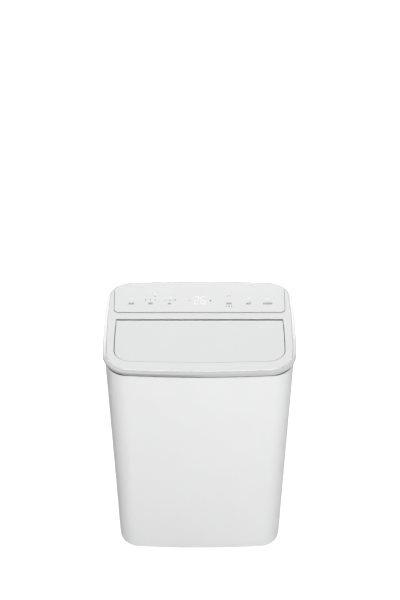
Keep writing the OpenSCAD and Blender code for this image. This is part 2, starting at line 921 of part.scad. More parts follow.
// Elbow from the condenser blower's discharge to the collar, t outside the air path; it
// reaches down behind the blower's housing
module elbow(t, extra) {
    x0 = lower_fan_x + lower_scroll_r0 * cos(cutoff_angle) + scroll_t;
    x1 = lower_fan_x + lower_scroll_r1 - scroll_t;
    y0 = lower_scroll_front + scroll_t;
    y1 = lower_scroll_front + blower_d - scroll_t;
    difference() {
        hull() {
            translate([x0 - t, y0 - t, lower_out_z - extra])
                cube([x1 - x0 + 2 * t, y1 - y0 + 2 * t, 1]);
            rod_y(port_x, port_z, port_joint_y - 1, 1 + extra, port_r + t, $fn = 40);
        }
        slab(lower_fan_x, cover_w, -half_d,
            lower_scroll_front + blower_d + fit_gap + scroll_t - t, 0, lower_out_z - extra);
    }
}

module exhaust_duct() {
    placed()
        color("#8d9196")
            difference() {
                elbow(scroll_t, 0);
                elbow(0, cut);
            }
}

// Drain spout through the rear wall and its push-on cap
module spout(x, z, y0) {
    placed()
        color("#b9bdc1")
            difference() {
                union() {
                    rod_y(x, z, y0, back_y + spout_proud - y0, spout_r);
                    rod_y(x, z, back_y, 2, spout_r + 3);
                }
                rod_y(x, z, y0 - cut, back_y + spout_proud - y0 + 2 * cut, spout_bore);
            }
}

module cap(x, z) {
    y0 = back_y + spout_proud - cap_l + 4;
    placed()
        color("#3c4146")
            difference() {
                union() {
                    rod_y(x, z, y0, cap_l, cap_r);
                    for (a = [0:30:330])
                        translate([x + cap_r * cos(a), y0, z + cap_r * sin(a)])
                            rotate([-90, 0, 0])
                                cylinder(r = 0.8, h = cap_l - 1, $fn = 16);
                }
                rod_y(x, z, y0 - cut, cap_l - 4 + cut, spout_r + 0.1);
            }
}

module upper_drain_spout() spout(upper_spout_x, upper_spout_z, coil_rear);
module upper_drain_cap() cap(upper_spout_x, upper_spout_z);
module lower_drain_spout() spout(lower_spout_x, lower_spout_z, back_y - 10);
module lower_drain_cap() cap(lower_spout_x, lower_spout_z);

// Bush that lines the cord's entry
module cord_gland() {
    placed()
        color("#c9ccd0")
            difference() {
                union() {
                    rod_y(cord_x, cord_z, back_y - wall - 4, wall + 4 + 3, cord_r + 3 - run_gap);
                    rod_y(cord_x, cord_z, back_y, 3, cord_r + 6);
                    rod_y(cord_x, cord_z, back_y - wall - 4, 4, cord_r + 4.5);
                }
                rod_y(cord_x, cord_z, back_y - 20, 40, cord_r);
            }
}

// ---- base and casters -----------------------------------------------------------------------

// Base pan: collects condensate, carries the machinery and holds each caster in a round seat
module base_pan() {
    skirt = wall + fit_gap;
    placed()
        color("#dadcde")
            difference() {
                union() {
                    difference() {
                        union() {
                            loft([[casing_plan(3, base_z), base_z],
                                [casing_plan(0.6, base_z + 3), base_z + 3],
                                [casing_plan(0.6, base_top), base_top]]);
                            casing_volume(skirt, base_top, base_top + 18);
                        }
                        casing_volume(skirt + frame_t, pan_floor, base_top + 18 + cut);
                    }
                    for (c = caster_places)
                        translate([c.x * caster_x, c.y, base_z]) {
                            cylinder(r = stem_r + 4.5, h = stem_len + 3);
                            cylinder(r = seat_r + pan_t, h = seat_depth + pan_t);
                        }
                    for (a = [60:120:300])
                        translate([compressor_x + leg_r * cos(a), compressor_y + leg_r * sin(a),
                            base_z])
                            cylinder(r = 12, h = pan_t + foot_boss_h);
                    for (x = [-1, 1])
                        slab(x * coil_w * 0.3, 10, coil_front, coil_rear, base_z + 1,
                            condenser_z);
                }
                for (c = caster_places)
                    translate([c.x * caster_x, c.y, base_z - cut]) {
                        cylinder(r = stem_r + run_gap, h = stem_len + cut);
                        cylinder(r = seat_r, h = seat_depth + cut);
                    }
                rod_y(lower_spout_x, lower_spout_z, back_y - 20, 30, spout_r);
                for (x = [-1, 1])
                    rod_y(x * screw_x, screw_low_z, back_y - wall - 10, 12, screw_r + run_gap);
            }
}

// Swivelling yoke: stem, thrust shoulder, web and a fender over both wheels
module caster_yoke(c) {
    shoulder_z = 2 * wheel_r + 1;
    placed()
        color("#2f3236")
            translate([c.x * caster_x, c.y, 0])
                difference() {
                    union() {
                        translate([0, 0, base_z - 1])
                            cylinder(r = stem_r, h = stem_len);
                        translate([0, 0, shoulder_z])
                            cylinder(r = shoulder_r, h = base_z + seat_depth - shoulder_z);
                        slab(0, web_w, -8, caster_trail, wheel_r + 2, shoulder_z + 1);
                        difference() {
                            rod_x(-yoke_w / 2, yoke_w, caster_trail, wheel_r, hood_r);
                            rod_x(-yoke_w / 2 - cut, yoke_w + 2 * cut, caster_trail, wheel_r,
                                hood_r - 2.5);
                            slab(0, 2 * yoke_w, -hood_r, 2 * hood_r + caster_trail, -hood_r,
                                wheel_r - 4);
                        }
                        rod_x(-web_w / 2, web_w, caster_trail, wheel_r, 8);
                        intersection() {
                            rod_x(-web_w / 2, web_w, caster_trail, wheel_r, hood_r - 1);
                            slab(0, web_w, -hood_r, 2 * hood_r + caster_trail, wheel_r, base_z);
                        }
                    }
                    rod_x(-yoke_w, 2 * yoke_w, caster_trail, wheel_r, axle_r + run_gap);
                }
}

// Twin wheels on their axle
module caster_wheels(c) {
    gap = 0.5;
    placed()
        translate([c.x * caster_x, c.y, 0])
            for (s = [-1, 1])
                color("#3b3e42") {
                    x0 = s > 0 ? web_w / 2 + gap : -web_w / 2 - gap - wheel_w;
                    difference() {
                        translate([x0, caster_trail, wheel_r])
                            rotate([0, 90, 0])
                                rotate_extrude()
                                    polygon([[0, 0], [wheel_r - 2, 0], [wheel_r - 0.6, 0.6],
                                        [wheel_r, 2], [wheel_r, wheel_w - 2],
                                        [wheel_r - 0.6, wheel_w - 0.6], [wheel_r - 2, wheel_w],
                                        [0, wheel_w]]);
                        rod_x(s > 0 ? x0 + wheel_w - 2.5 : x0 - cut, 2.5 + cut, caster_trail,
                            wheel_r, wheel_r - 5);
                    }
                    rod_x(s > 0 ? -0.01 : -web_w / 2 - gap - wheel_w + 1,
                        web_w / 2 + gap + wheel_w - 1, caster_trail, wheel_r, axle_r);
                }
}

module caster_yoke_fl() caster_yoke(caster_places[0]);
module caster_yoke_fr() caster_yoke(caster_places[1]);
module caster_yoke_rl() caster_yoke(caster_places[2]);
module caster_yoke_rr() caster_yoke(caster_places[3]);
module caster_wheels_fl() caster_wheels(caster_places[0]);
module caster_wheels_fr() caster_wheels(caster_places[1]);
module caster_wheels_rl() caster_wheels(caster_places[2]);
module caster_wheels_rr() caster_wheels(caster_places[3]);

// ---- chassis and refrigeration --------------------------------------------------------------

// Stepped partition between the cold and the hot half, with a sump under the evaporator
module partition() {
    placed()
        color("#c3c7cb")
            difference() {
                union() {
                    intersection() {
                        casing_volume(wall, low_floor, high_floor + 18);
                        union() {
                            slab(0, cover_w, -half_d, step_y + plate_t, low_floor,
                                low_floor + plate_t);
                            slab(0, cover_w, step_y, step_y + plate_t, low_floor,
                                high_floor + plate_t);
                            slab(0, cover_w, step_y, half_d, high_floor, high_floor + plate_t);
                            slab(0, 2 * screw_x + 16, back_y - wall - 2.5, half_d, high_floor,
                                screw_mid_z + 5);
                        }
                    }
                    slab(upper_spout_x, sump_w, coil_front, coil_rear, high_floor - 28,
                        high_floor + 1);
                }
                slab(upper_spout_x, sump_w - 5, coil_front + 2.5, coil_rear - 2.5,
                    high_floor - 25.5, high_floor + plate_t + cut);
                rod_y(upper_spout_x, upper_spout_z, coil_rear - 5, 10, spout_bore);
                for (p = [[suction_x, suction_y], [liquid_x, liquid_y]])
                    translate([p.x, p.y, high_floor - cut])
                        cylinder(r = pipe_r + fit_gap, h = plate_t + 2 * cut);
                for (x = [-1, 1])
                    rod_y(x * screw_x, screw_mid_z, back_y - wall - 10, 12, screw_r + run_gap);
                slab(0, grille_w, back_y - plug_d - 3, half_d, upper_grille_z - 8, deck_z);
            }
}

// Rotary compressor: domed shell on a three-legged plate, terminal cap and suction accumulator
module compressor() {
    dome = 16;
    profile = concat([[0, 0], [compressor_r, 0]],
        [for (a = [0:15:90]) [compressor_r * cos(a), compressor_h - dome + dome * sin(a)]]);
    tank = concat([[0, 0]],
        [for (a = [-75:15:0]) [tank_r * cos(a), tank_dome * (1 + sin(a))]],
        [for (a = [0:15:90]) [tank_r * cos(a), tank_top - tank_z - tank_dome * (1 - sin(a))]]);
    placed()
        color("#26282b") {
            translate([compressor_x, compressor_y, compressor_z]) {
                rotate_extrude()
                    polygon(profile);
                for (a = [60:120:300])
                    rotate([0, 0, a])
                        difference() {
                            slab(leg_r / 2, leg_r + 20, -11, 11, 0, 3);
                            translate([leg_r, 0, -cut])
                                cylinder(r = 4.05, h = 3 + 2 * cut);
                        }
                translate([18, 10, compressor_h - 6])
                    cylinder(r = 15, h = 16);
            }
            translate([tank_x, tank_y, tank_z])
                rotate_extrude()
                    polygon(tank);
            translate([compressor_x, compressor_y, compressor_z + compressor_h / 2])
                rotate([0, 0, tank_angle])
                    slab(tank_reach / 2, tank_reach, -5, 5, -8, 8);
        }
}

// Rubber feet of the compressor with their studs
module compressor_feet() {
    placed()
        color("#17181a")
            for (a = [60:120:300])
                translate([compressor_x + leg_r * cos(a), compressor_y + leg_r * sin(a),
                    pan_floor + foot_boss_h]) {
                    difference() {
                        cylinder(r = 9, h = foot_h);
                        translate([0, 0, foot_h / 2])
                            rotate_extrude()
                                translate([10.5, 0])
                                    circle(r = 3);
                    }
                    cylinder(r = 4, h = foot_h + 3);
                    translate([0, 0, foot_h + 3])
                        cylinder(r = 7, h = 4, $fn = 6);
                }
}

// Finned heat exchanger h tall: comb of fins between end plates, with hairpin bends
module coil(z0, h) {
    fin = 4;
    n = floor((coil_w - 8) / fin);
    x0 = -n * fin / 2;
    rows = floor((h - 16) / 24);
    z1 = z0 + (h - rows * 24) / 2 + 6;
    placed() {
        color("#c4c8cb") {
            translate([0, coil_front, z0])
                linear_extrude(h)
                    polygon(concat([[x0, 0], [-x0, 0]], [for (i = [n:-1:1], k = [0:3])
                        [x0 + (i - (k > 1 ? 0.55 : 0)) * fin,
                            k == 1 || k == 2 ? coil_t : coil_t - 12]], [[x0, coil_t - 12]]));
            for (s = [-1, 1])
                slab(s * (coil_w / 2 - 1), 2, coil_front, coil_rear, z0, z0 + h);
            for (s = [-1, 1])
                slab(s * (coil_w / 2 - x0 - 1) / 2, coil_w / 2 + x0 + 1, coil_front + 8,
                    coil_rear - 8, z0, z0 + h);
        }
        color("#b56b3a")
            for (s = [-1, 1], i = [0:rows - 1], y = [coil_front + 10, coil_rear - 10])
                translate([s * coil_w / 2, y, z1 + i * 24 + 6])
                    rotate([90, 0, s > 0 ? 0 : 180])
                        rotate_extrude(angle = 180, start = -90, $fn = 24)
                            translate([6, 0])
                                circle(r = 3, $fn = 16);
    }
}

module evaporator() coil(evaporator_z, evaporator_h);
module condenser() coil(condenser_z, condenser_h);

// Copper lines: discharge, suction and liquid
module refrigerant_pipes() {
    top = compressor_z + compressor_h;
    over = top + 26;
    low = condenser_z + 10;
    high = evaporator_z + evaporator_h - 7;
    x = compressor_x - 15;
    placed()
        color("#b56b3a") {
            pipe([[x, compressor_y, top - 2], [x, compressor_y, over], [x, suction_y, over],
                [x, suction_y, condenser_z + condenser_h]], pipe_r);
            pipe([[-coil_w / 2, suction_y, evaporator_z + 18], [suction_x, suction_y,
                evaporator_z + 18], [suction_x, suction_y, over], [suction_x, tank_y, over],
                [tank_x, tank_y, over], [tank_x, tank_y, tank_top - 1]], pipe_r);
            pipe([[-coil_w / 2, liquid_y, low], [liquid_x, liquid_y, low],
                [liquid_x, liquid_y, high], [-coil_w / 2, liquid_y, high]], pipe_r - 1.5);
        }
}

// ---- blowers --------------------------------------------------------------------------------

// Spiral housing from y0, round a fan axis, open at the top and round its inlet
module scroll(cx, cz, r0, r1, y0, top, inlet_r, foot_z) {
    t = scroll_t;
    x0 = cx + r0 * cos(cutoff_angle);
    low = cz - r0 - (r1 - r0) * (270 - cutoff_angle) / (360 - cutoff_angle);
    placed()
        color("#3d4044") {
            difference() {
                along_y(y0, blower_d)
                    polygon(concat(spiral(cx, cz, r0, r1), [[cx + r1, top], [x0, top]]));
                along_y(y0 + t, blower_d - 2 * t)
                    polygon(concat(spiral(cx, cz, r0 - t, r1 - t), [[cx + r1 - t, top + cut],
                        [x0 + t, top + cut], [x0 + t, cz + r0 * sin(cutoff_angle) - 2 * t]]));
                rod_y(cx, cz, y0 + blower_d - t - cut, t + 2 * cut, inlet_r);
                rod_y(cx, cz, y0 - cut, t + 2 * cut, 14);
            }
            translate([cx, y0 + blower_d - t - 5, cz])
                rotate([-90, 0, 0])
                    difference() {
                        cylinder(r = inlet_r + 2, h = 6);
                        translate([0, 0, -cut])
                            cylinder(r = inlet_r, h = 6 + 2 * cut);
                    }
            slab(cx, 60, y0 + 6, y0 + blower_d - 6, foot_z, low + 3);
        }
}

// Forward-curved blower wheel on its shaft, wheel_d deep from y0
module blower(cx, cz, r, y0, wheel_d, shaft_y) {
    step = 360 / blade_count;
    placed()
        color("#5a5e63") {
            along_y(y0 + 1, wheel_d - 2)
                translate([cx, cz])
                    for (i = [0:blade_count - 1])
                        rotate(i * step)
                            polygon([for (k = [0:8])
                                let (s = (k < 5 ? k : 8 - k) / 4,
                                    q = r * (0.8 + 0.19 * s) + (k < 5 ? 0 : -0.3),
                                    a = 11 * s * s + (k < 5 ? 0 : 1.3))
                                [q * cos(a), q * sin(a)]]);
            rod_y(cx, cz, y0, 1.8, r);
            translate([cx, y0 + wheel_d - 3, cz])
                rotate([-90, 0, 0])
                    rotate_extrude()
                        translate([r * 0.88, 0])
                            square([r * 0.12, 3]);
            rod_y(cx, cz, y0, 22, 12);
            rod_y(cx, cz, shaft_y, y0 - shaft_y + 24, shaft_r);
        }
}

// Blower motor in front of a housing whose front face is at y1
module blower_motor(cx, cz, r, y1, length) {
    placed()
        color("#8f959b")
            difference() {
                union() {
                    rod_y(cx, cz, y1 - length + 6, length - 12, r);
                    rod_y(cx, cz, y1 - length, 6, r - 12);
                    rod_y(cx, cz, y1 - 6, 6, r - 12);
                    for (a = [45:90:315])
                        translate([cx + r * cos(a), y1, cz + r * sin(a)])
                            rotate([90, 0, 0])
                                cylinder(r = 5, h = 14);
                }
                rod_y(cx, cz, y1 - length + 8, length, shaft_r + run_gap);
            }
}

module evaporator_scroll() scroll(upper_fan_x, upper_fan_z, upper_scroll_r0, upper_scroll_r1,
    upper_scroll_front, duct_low, upper_wheel_r * 0.76, low_floor + plate_t);
module evaporator_wheel() blower(upper_fan_x, upper_fan_z, upper_wheel_r,
    upper_scroll_front + scroll_t + 4, blower_d - 2 * scroll_t - 12,
    upper_scroll_front - upper_motor_l + 10);
module evaporator_motor() blower_motor(upper_fan_x, upper_fan_z, 40, upper_scroll_front,
    upper_motor_l);
module condenser_scroll() scroll(lower_fan_x, lower_fan_z, lower_scroll_r0, lower_scroll_r1,
    lower_scroll_front, lower_out_z, lower_wheel_r * 0.76, pan_floor);
module condenser_wheel() blower(lower_fan_x, lower_fan_z, lower_wheel_r,
    lower_scroll_front + scroll_t + 4, blower_d - 2 * scroll_t - 12,
    lower_scroll_front - lower_motor_l + 10);
module condenser_motor() blower_motor(lower_fan_x, lower_fan_z, 38, lower_scroll_front,
    lower_motor_l);

// Wheel that flings condensate from the pan onto the condenser
module splash_wheel() {
    placed()
        color("#d0d3d6") {
            rod_y(splash_x, splash_z, splash_y - splash_d, splash_disc_t, splash_r - 6);
            rod_y(splash_x, splash_z, splash_y - splash_d, splash_d, 6);
            for (a = [0:60:300])
                translate([splash_x, splash_y - splash_d / 2, splash_z])
                    rotate([0, a + 10, 0])
                        translate([splash_r / 2 + 2, 0, 0])
                            cube([splash_r - 4, splash_d - splash_disc_t, 1.6], center = true);
            rod_y(splash_x, splash_z, splash_y - splash_d - 13, 14, 2.5);
        }
}

module splash_motor() {
    placed()
        color("#6f757b")
            difference() {
                union() {
                    rod_y(splash_x, splash_z, splash_motor_y, splash_motor_l, 16);
                    slab(splash_x, 20, splash_motor_y + 4, splash_motor_y + splash_motor_l - 4,
                        pan_floor, splash_z);
                }
                rod_y(splash_x, splash_z, splash_motor_y + splash_motor_l - 12, 12 + cut,
                    2.5 + run_gap);
            }
}

// ---- controls -------------------------------------------------------------------------------

// Open-topped electrical box on the partition
module electrical_box() {
    placed()
        color("#b7bcc1")
            difference() {
                translate([box_x0, box_y0, low_floor + plate_t])
                    cube([box_x1 - box_x0, box_len, box_h]);
                translate([box_x0 + box_t, box_y0 + box_t, low_floor + plate_t + box_t])
                    cube([box_x1 - box_x0 - 2 * box_t, box_len - 2 * box_t, box_h - 2 * box_t]);
            }
}

// Main circuit board on stand-offs, with relays, choke and terminal strip
module circuit_board() {
    x = box_x0 + box_t;
    z = low_floor + plate_t + box_t;
    placed()
        color("#2f6b45") {
            translate([x + 6, box_y0 + 6, z + 70])
                cube([1.6, box_len - 12, box_h - 80]);
            for (y = [box_y0 + 12, box_y0 + box_len - 12], zz = [z + 76, z + box_h - 16])
                rod_x(x, 6.5, y, zz, 3);
            for (i = [0:2])
                translate([x + 7, box_y0 + 12 + 26 * i, z + 84])
                    cube([15, 18, 28]);
            rod_x(x + 7, 14, box_y0 + 30, z + box_h - 40, 11);
            translate([x + 7, box_y0 + 50, z + box_h - 52])
                cube([12, 34, 16]);
        }
}

// Run capacitor of the compressor on the floor of the box
module capacitor() {
    placed()
        color("#d8dadc")
            translate([(box_x0 + box_x1) / 2, box_y0 + 30, low_floor + plate_t + box_t]) {
                cylinder(r = 17, h = 58);
                for (x = [-6, 6])
                    translate([x - 2.5, -0.5, 57])
                        cube([5, 1, 9]);
            }
}

// Level switch in the pan: guide stem on a foot, and the float that rides on it
module float_switch() {
    placed()
        color("#caced1")
            translate([float_x, float_y, pan_floor]) {
                cylinder(r = 11, h = 3);
                cylinder(r = 3, h = 40);
                translate([0, 0, 36])
                    cylinder(r = 6, h = 5);
            }
}

module float() {
    placed()
        color("#f0f1f2")
            translate([float_x, float_y, pan_floor + 3])
                difference() {
                    cylinder(r = 10, h = 16);
                    translate([0, 0, -cut])
                        cylinder(r = 3 + run_gap, h = 16 + 2 * cut);
                }
}

// Six pan-head screws that hold the rear casing to the base, the partition and the top frame
module casing_screws() {
    placed()
        color("#9aa0a5")
            for (x = [-1, 1], z = screw_levels)
                translate([x * screw_x, back_y, z])
                    rotate([-90, 0, 0]) {
                        translate([0, 0, -wall - 2.6])
                            cylinder(r = screw_r, h = wall + 2.8);
                        difference() {
                            cylinder(r = 3.6, h = 2.2);
                            for (a = [0, 90])
                                rotate([0, 0, a])
                                    translate([-2, -0.4, 1.2])
                                        cube([4, 0.8, 2]);
                        }
                    }
}

top_rim();
top_frame();
top_deck();
control_panel();
display_board();
outlet_flap();
flap_motor();
outlet_throat();
vane_1();
vane_2();
vane_3();
vane_4();
vane_5();
vane_6();
vane_link();
front_casing();
rear_casing();
left_handle();
right_handle();
upper_grille();
upper_filter();
lower_grille();
lower_filter();
exhaust_collar();
exhaust_duct();
upper_drain_spout();
upper_drain_cap();
lower_drain_spout();
lower_drain_cap();
cord_gland();
base_pan();
caster_yoke_fl();
caster_yoke_fr();
caster_yoke_rl();
caster_yoke_rr();
caster_wheels_fl();
caster_wheels_fr();
caster_wheels_rl();
caster_wheels_rr();
partition();
compressor();
compressor_feet();
evaporator();
condenser();
refrigerant_pipes();
evaporator_scroll();
evaporator_wheel();
evaporator_motor();
condenser_scroll();
condenser_wheel();
condenser_motor();
splash_wheel();
splash_motor();
electrical_box();
circuit_board();
capacitor();
float_switch();
float();
casing_screws();
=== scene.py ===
"""Dresses the portable air conditioner: finishes for every node, panel markings, stage and camera.

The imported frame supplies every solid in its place. The classes below give each sub-assembly its
finishes, add the printed and lit marks of the touch panel and the small rounded mouldings, and
set the floor, the lamps and the camera. Lengths are metres in the frame's own coordinates.
"""

from __future__ import annotations

import json
import logging
import math
from dataclasses import dataclass, field
from enum import Enum
from typing import Callable, Mapping, Sequence, Union

import bmesh
import bpy
from mathutils import Matrix, Vector

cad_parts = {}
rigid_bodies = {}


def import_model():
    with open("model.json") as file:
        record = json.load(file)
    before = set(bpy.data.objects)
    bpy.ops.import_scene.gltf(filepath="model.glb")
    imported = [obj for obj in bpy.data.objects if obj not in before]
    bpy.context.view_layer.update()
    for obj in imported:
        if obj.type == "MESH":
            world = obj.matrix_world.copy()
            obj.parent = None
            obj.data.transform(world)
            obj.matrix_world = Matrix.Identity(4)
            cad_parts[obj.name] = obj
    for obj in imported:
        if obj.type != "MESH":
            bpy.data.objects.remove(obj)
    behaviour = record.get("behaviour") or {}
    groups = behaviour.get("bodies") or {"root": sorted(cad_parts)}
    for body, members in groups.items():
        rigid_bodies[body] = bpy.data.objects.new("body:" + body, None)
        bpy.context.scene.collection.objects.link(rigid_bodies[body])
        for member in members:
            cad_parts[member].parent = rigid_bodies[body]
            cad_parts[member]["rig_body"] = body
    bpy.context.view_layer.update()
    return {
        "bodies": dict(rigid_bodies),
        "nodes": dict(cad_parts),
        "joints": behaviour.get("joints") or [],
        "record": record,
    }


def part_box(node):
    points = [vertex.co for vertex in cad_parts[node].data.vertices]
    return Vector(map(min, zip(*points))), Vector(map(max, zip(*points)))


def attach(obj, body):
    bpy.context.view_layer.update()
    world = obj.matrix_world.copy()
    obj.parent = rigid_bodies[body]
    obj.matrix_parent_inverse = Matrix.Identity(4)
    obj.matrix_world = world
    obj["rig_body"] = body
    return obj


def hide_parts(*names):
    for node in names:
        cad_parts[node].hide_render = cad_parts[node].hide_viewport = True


log = logging.getLogger("air_conditioner")

MM = 0.001
WELD = 0.002 * MM  # distance within which loose triangles are joined

Pair = tuple[float, float]
Triple = tuple[float, float, float]
Key = Union[int, str]
Chooser = Callable[["BMEdge"], bool]
Value = Union["Wire", float, Sequence[float]]
BMesh, BMEdge, BMVert = bmesh.types.BMesh, bmesh.types.BMEdge, bmesh.types.BMVert
Material, Object = bpy.types.Material, bpy.types.Object


# ---- node trees ----


class Wire:
    """An output socket that can stand in a Python expression."""

    def __init__(self, graph: Graph, socket: bpy.types.NodeSocket) -> None:
        """Keeps the socket and the graph that it belongs to."""
        self.graph = graph
        self.socket = socket

    def __add__(self, other: Value) -> Wire:
        """Sum."""
        return self.graph.math("ADD", self, other)

    def __radd__(self, other: Value) -> Wire:
        """Sum, with the wire on the right."""
        return self.graph.math("ADD", other, self)

    def __sub__(self, other: Value) -> Wire:
        """Difference."""
        return self.graph.math("SUBTRACT", self, other)

    def __rsub__(self, other: Value) -> Wire:
        """Difference, with the wire on the right."""
        return self.graph.math("SUBTRACT", other, self)

    def __mul__(self, other: Value) -> Wire:
        """Product."""
        return self.graph.math("MULTIPLY", self, other)

    def __rmul__(self, other: Value) -> Wire:
        """Product, with the wire on the right."""
        return self.graph.math("MULTIPLY", other, self)

    def clamped(self) -> Wire:
        """The value held between 0 and 1."""
        return self.graph.add("ShaderNodeClamp", {}, {0: self})


class Graph:
    """A node tree under construction."""

    def __init__(self, tree: bpy.types.NodeTree) -> None:
        """Keeps the tree."""
        self.tree = tree

    def add(
        self,
        kind: str,
        settings: Mapping[str, object],
        inputs: Mapping[Key, Value],
        output: Key = 0,
    ) -> Wire:
        """Adds a node.

        Args:
            kind: the node's type.
            settings: properties set before the inputs, such as a Math node's operation.
            inputs: values or wires for the input sockets, by place or name.
            output: the output that is wanted.

        Returns:
            The wire of that output.
        """
        node = self.tree.nodes.new(kind)
        for key, setting in settings.items():
            setattr(node, key, setting)
        for key, value in inputs.items():
            self.feed(node.inputs[key], value)
        return Wire(self, node.outputs[output])

    def feed(self, socket: bpy.types.NodeSocket, value: Value) -> None:
        """Links a wire to a socket, or sets its value.

        Args:
            socket: the input socket.
            value: a wire, a number or switch, or a colour or vector.
        """
        if isinstance(value, Wire):
            self.tree.links.new(value.socket, socket)
        elif isinstance(value, (int, float)):
            socket.default_value = value
        elif len(value) < len(socket.default_value):
            socket.default_value = (*value, 1.0)
        else:
            socket.default_value = tuple(value)

    def finish(self, output: str, surface: Wire) -> None:
        """Shows a surface at the tree's output node."""
        self.feed(self.tree.nodes[output].inputs["Surface"], surface)

    def math(self, operation: str, *values: Value) -> Wire:
        """Adds a Math node."""
        return self.add("ShaderNodeMath", {"operation": operation}, dict(enumerate(values)))

    def place(self, kind: str = "Object") -> Wire:
        """Coordinates, the object's own unless another kind is named."""
        return self.add("ShaderNodeTexCoord", {}, {}, kind)

    def axes(self, kind: str = "Object") -> list[Wire]:
        """Coordinates as three wires."""
        split = self.add("ShaderNodeSeparateXYZ", {}, {0: self.place(kind)})
        return [Wire(self, output) for output in split.socket.node.outputs]

    def seen(self) -> Wire:
        """Mask of camera, mirror and glass rays."""
        rays = self.add("ShaderNodeLightPath", {}, {}).socket.node.outputs
        camera, mirror, glass = (
            Wire(self, rays[name])
            for name in ("Is Camera Ray", "Is Glossy Ray", "Is Transmission Ray")
        )
        return self.math("MAXIMUM", self.math("MAXIMUM", camera, mirror), glass)


class Shader(Graph):
    """A material under construction around one Principled shader."""

    def __init__(self, name: str) -> None:
        """Makes the material under a name."""
        self.material = bpy.data.materials.new(name)
        self.material.use_nodes = True
        super().__init__(self.material.node_tree)
        self.surface = self.tree.nodes["Principled BSDF"]

    def set(self, **values: Value) -> None:
        """Feeds sockets of the Principled shader, named with underscores for spaces."""
        for key, value in values.items():
            self.feed(self.surface.inputs[key.replace("_", " ")], value)

    def noise(self, size: float, detail: float = 2.0, place: Wire | None = None) -> Wire:
        """Smooth noise between 0 and 1.

        Args:
            size: width of its features in metres.
            detail: octaves of finer noise.
            place: coordinates, or the object's own when left out.

        Returns:
            The noise value.
        """
        inputs = {"Vector": place or self.place(), "Scale": 1.0 / size, "Detail": detail}
        return self.add("ShaderNodeTexNoise", {}, inputs)

    def cells(self, size: float, feature: str = "F1") -> Wire:
        """Distances of a cell pattern of a given size in metres."""
        inputs = {"Vector": self.place(), "Scale": 1.0 / size}
        return self.add("ShaderNodeTexVoronoi", {"feature": feature}, inputs, "Distance")

    def stripes(self, across: Wire, pitch: float) -> Wire:
        """Wave between -1 and 1 that repeats across a coordinate at a pitch in metres."""
        return self.math("SINE", across * (2 * math.pi / pitch))

    def away(self, across: Wire, centre: float) -> Wire:
        """Distance of a coordinate from a centre."""
        return self.math("ABSOLUTE", across - centre)

    def blend(self, factor: Value, first: Value, second: Value) -> Wire:
        """Mix of two colours."""
        return self.add(
            "ShaderNodeMix", {"data_type": "RGBA"}, {0: factor, 6: first, 7: second}, 2
        )

    def tint(self, factor: Value, colour: Triple, low: float, high: float) -> Wire:
        """Colour that runs between two shades of itself.

        Args:
            factor: 0 for the first shade, 1 for the second.
            colour: the colour.
            low, high: the factors of the two shades.

        Returns:
            The mixed colour.
        """
        return self.blend(factor, shade(colour, low), shade(colour, high))

    def step(self, value: Value, low: float, high: float) -> Wire:
        """Smooth step of a value from low to high."""
        settings = {"interpolation_type": "SMOOTHSTEP"}
        return self.add("ShaderNodeMapRange", settings, {0: value, 1: low, 2: high})

    def rounded(self, radius: float) -> Wire:
        """Normal of edges rounded by a radius in metres."""
        return self.add("ShaderNodeBevel", {"samples": 4}, {"Radius": radius})

    def edges(self, radius: float) -> Wire:
        """Mask of outer and inner edges within a radius in metres."""
        flat = self.add("ShaderNodeNewGeometry", {}, {}, "Normal")
        inputs = {0: self.rounded(radius), 1: flat}
        along = self.add(
            "ShaderNodeVectorMath", {"operation": "DOT_PRODUCT"}, inputs, "Value"
        )
        return self.step(1.0 - along, 0.004, 0.12)

    def relief(
        self, height: Value, depth: float, strength: float, normal: Wire | None = None
    ) -> Wire:
        """Bump of a height between 0 and 1.

        Args:
            height: the height.
            depth: depth in metres that a height of 1 stands for.
            strength: share of the effect.
            normal: the normal that it works on.

        Returns:
            The bumped normal.
        """
        inputs: dict[Key, Value] = {"Height": height, "Distance": depth, "Strength": strength}
        if normal is not None:
            inputs["Normal"] = normal
        return self.add("ShaderNodeBump", {}, inputs)


def shade(colour: Triple, factor: float) -> Triple:
    """The colour made lighter or darker by a factor, held below 1."""
    return tuple(min(1.0, c * factor) for c in colour)


def show(name: str, data: bpy.types.ID) -> Object:
    """Adds an object with its data to the scene."""
    made = bpy.data.objects.new(name, data)
    bpy.context.scene.collection.objects.link(made)
    return made


def meshed(name: str, shape: BMesh, material: Material) -> Object:
    """Turns a bmesh into an object of the scene.

    Args:
        name: the object's name.
        shape: its shape, freed here.
        material: its material.

    Returns:
        The new object, at the origin.
    """
    data = bpy.data.meshes.new(name)
    shape.to_mesh(data)
    shape.free()
    data.materials.append(material)
    return show(name, data)


# ---- finishes ----


@dataclass(frozen=True)
class Finish:
    """One material of the product.

    Attributes:
        name: the material's name.
    """

    name: str

    def paint(self, shader: Shader) -> None:
        """Paints the shader."""
        raise NotImplementedError

    def build(self) -> Material:
        """Builds the material."""
        shader = Shader(self.name)
        self.paint(shader)
        return shader.material


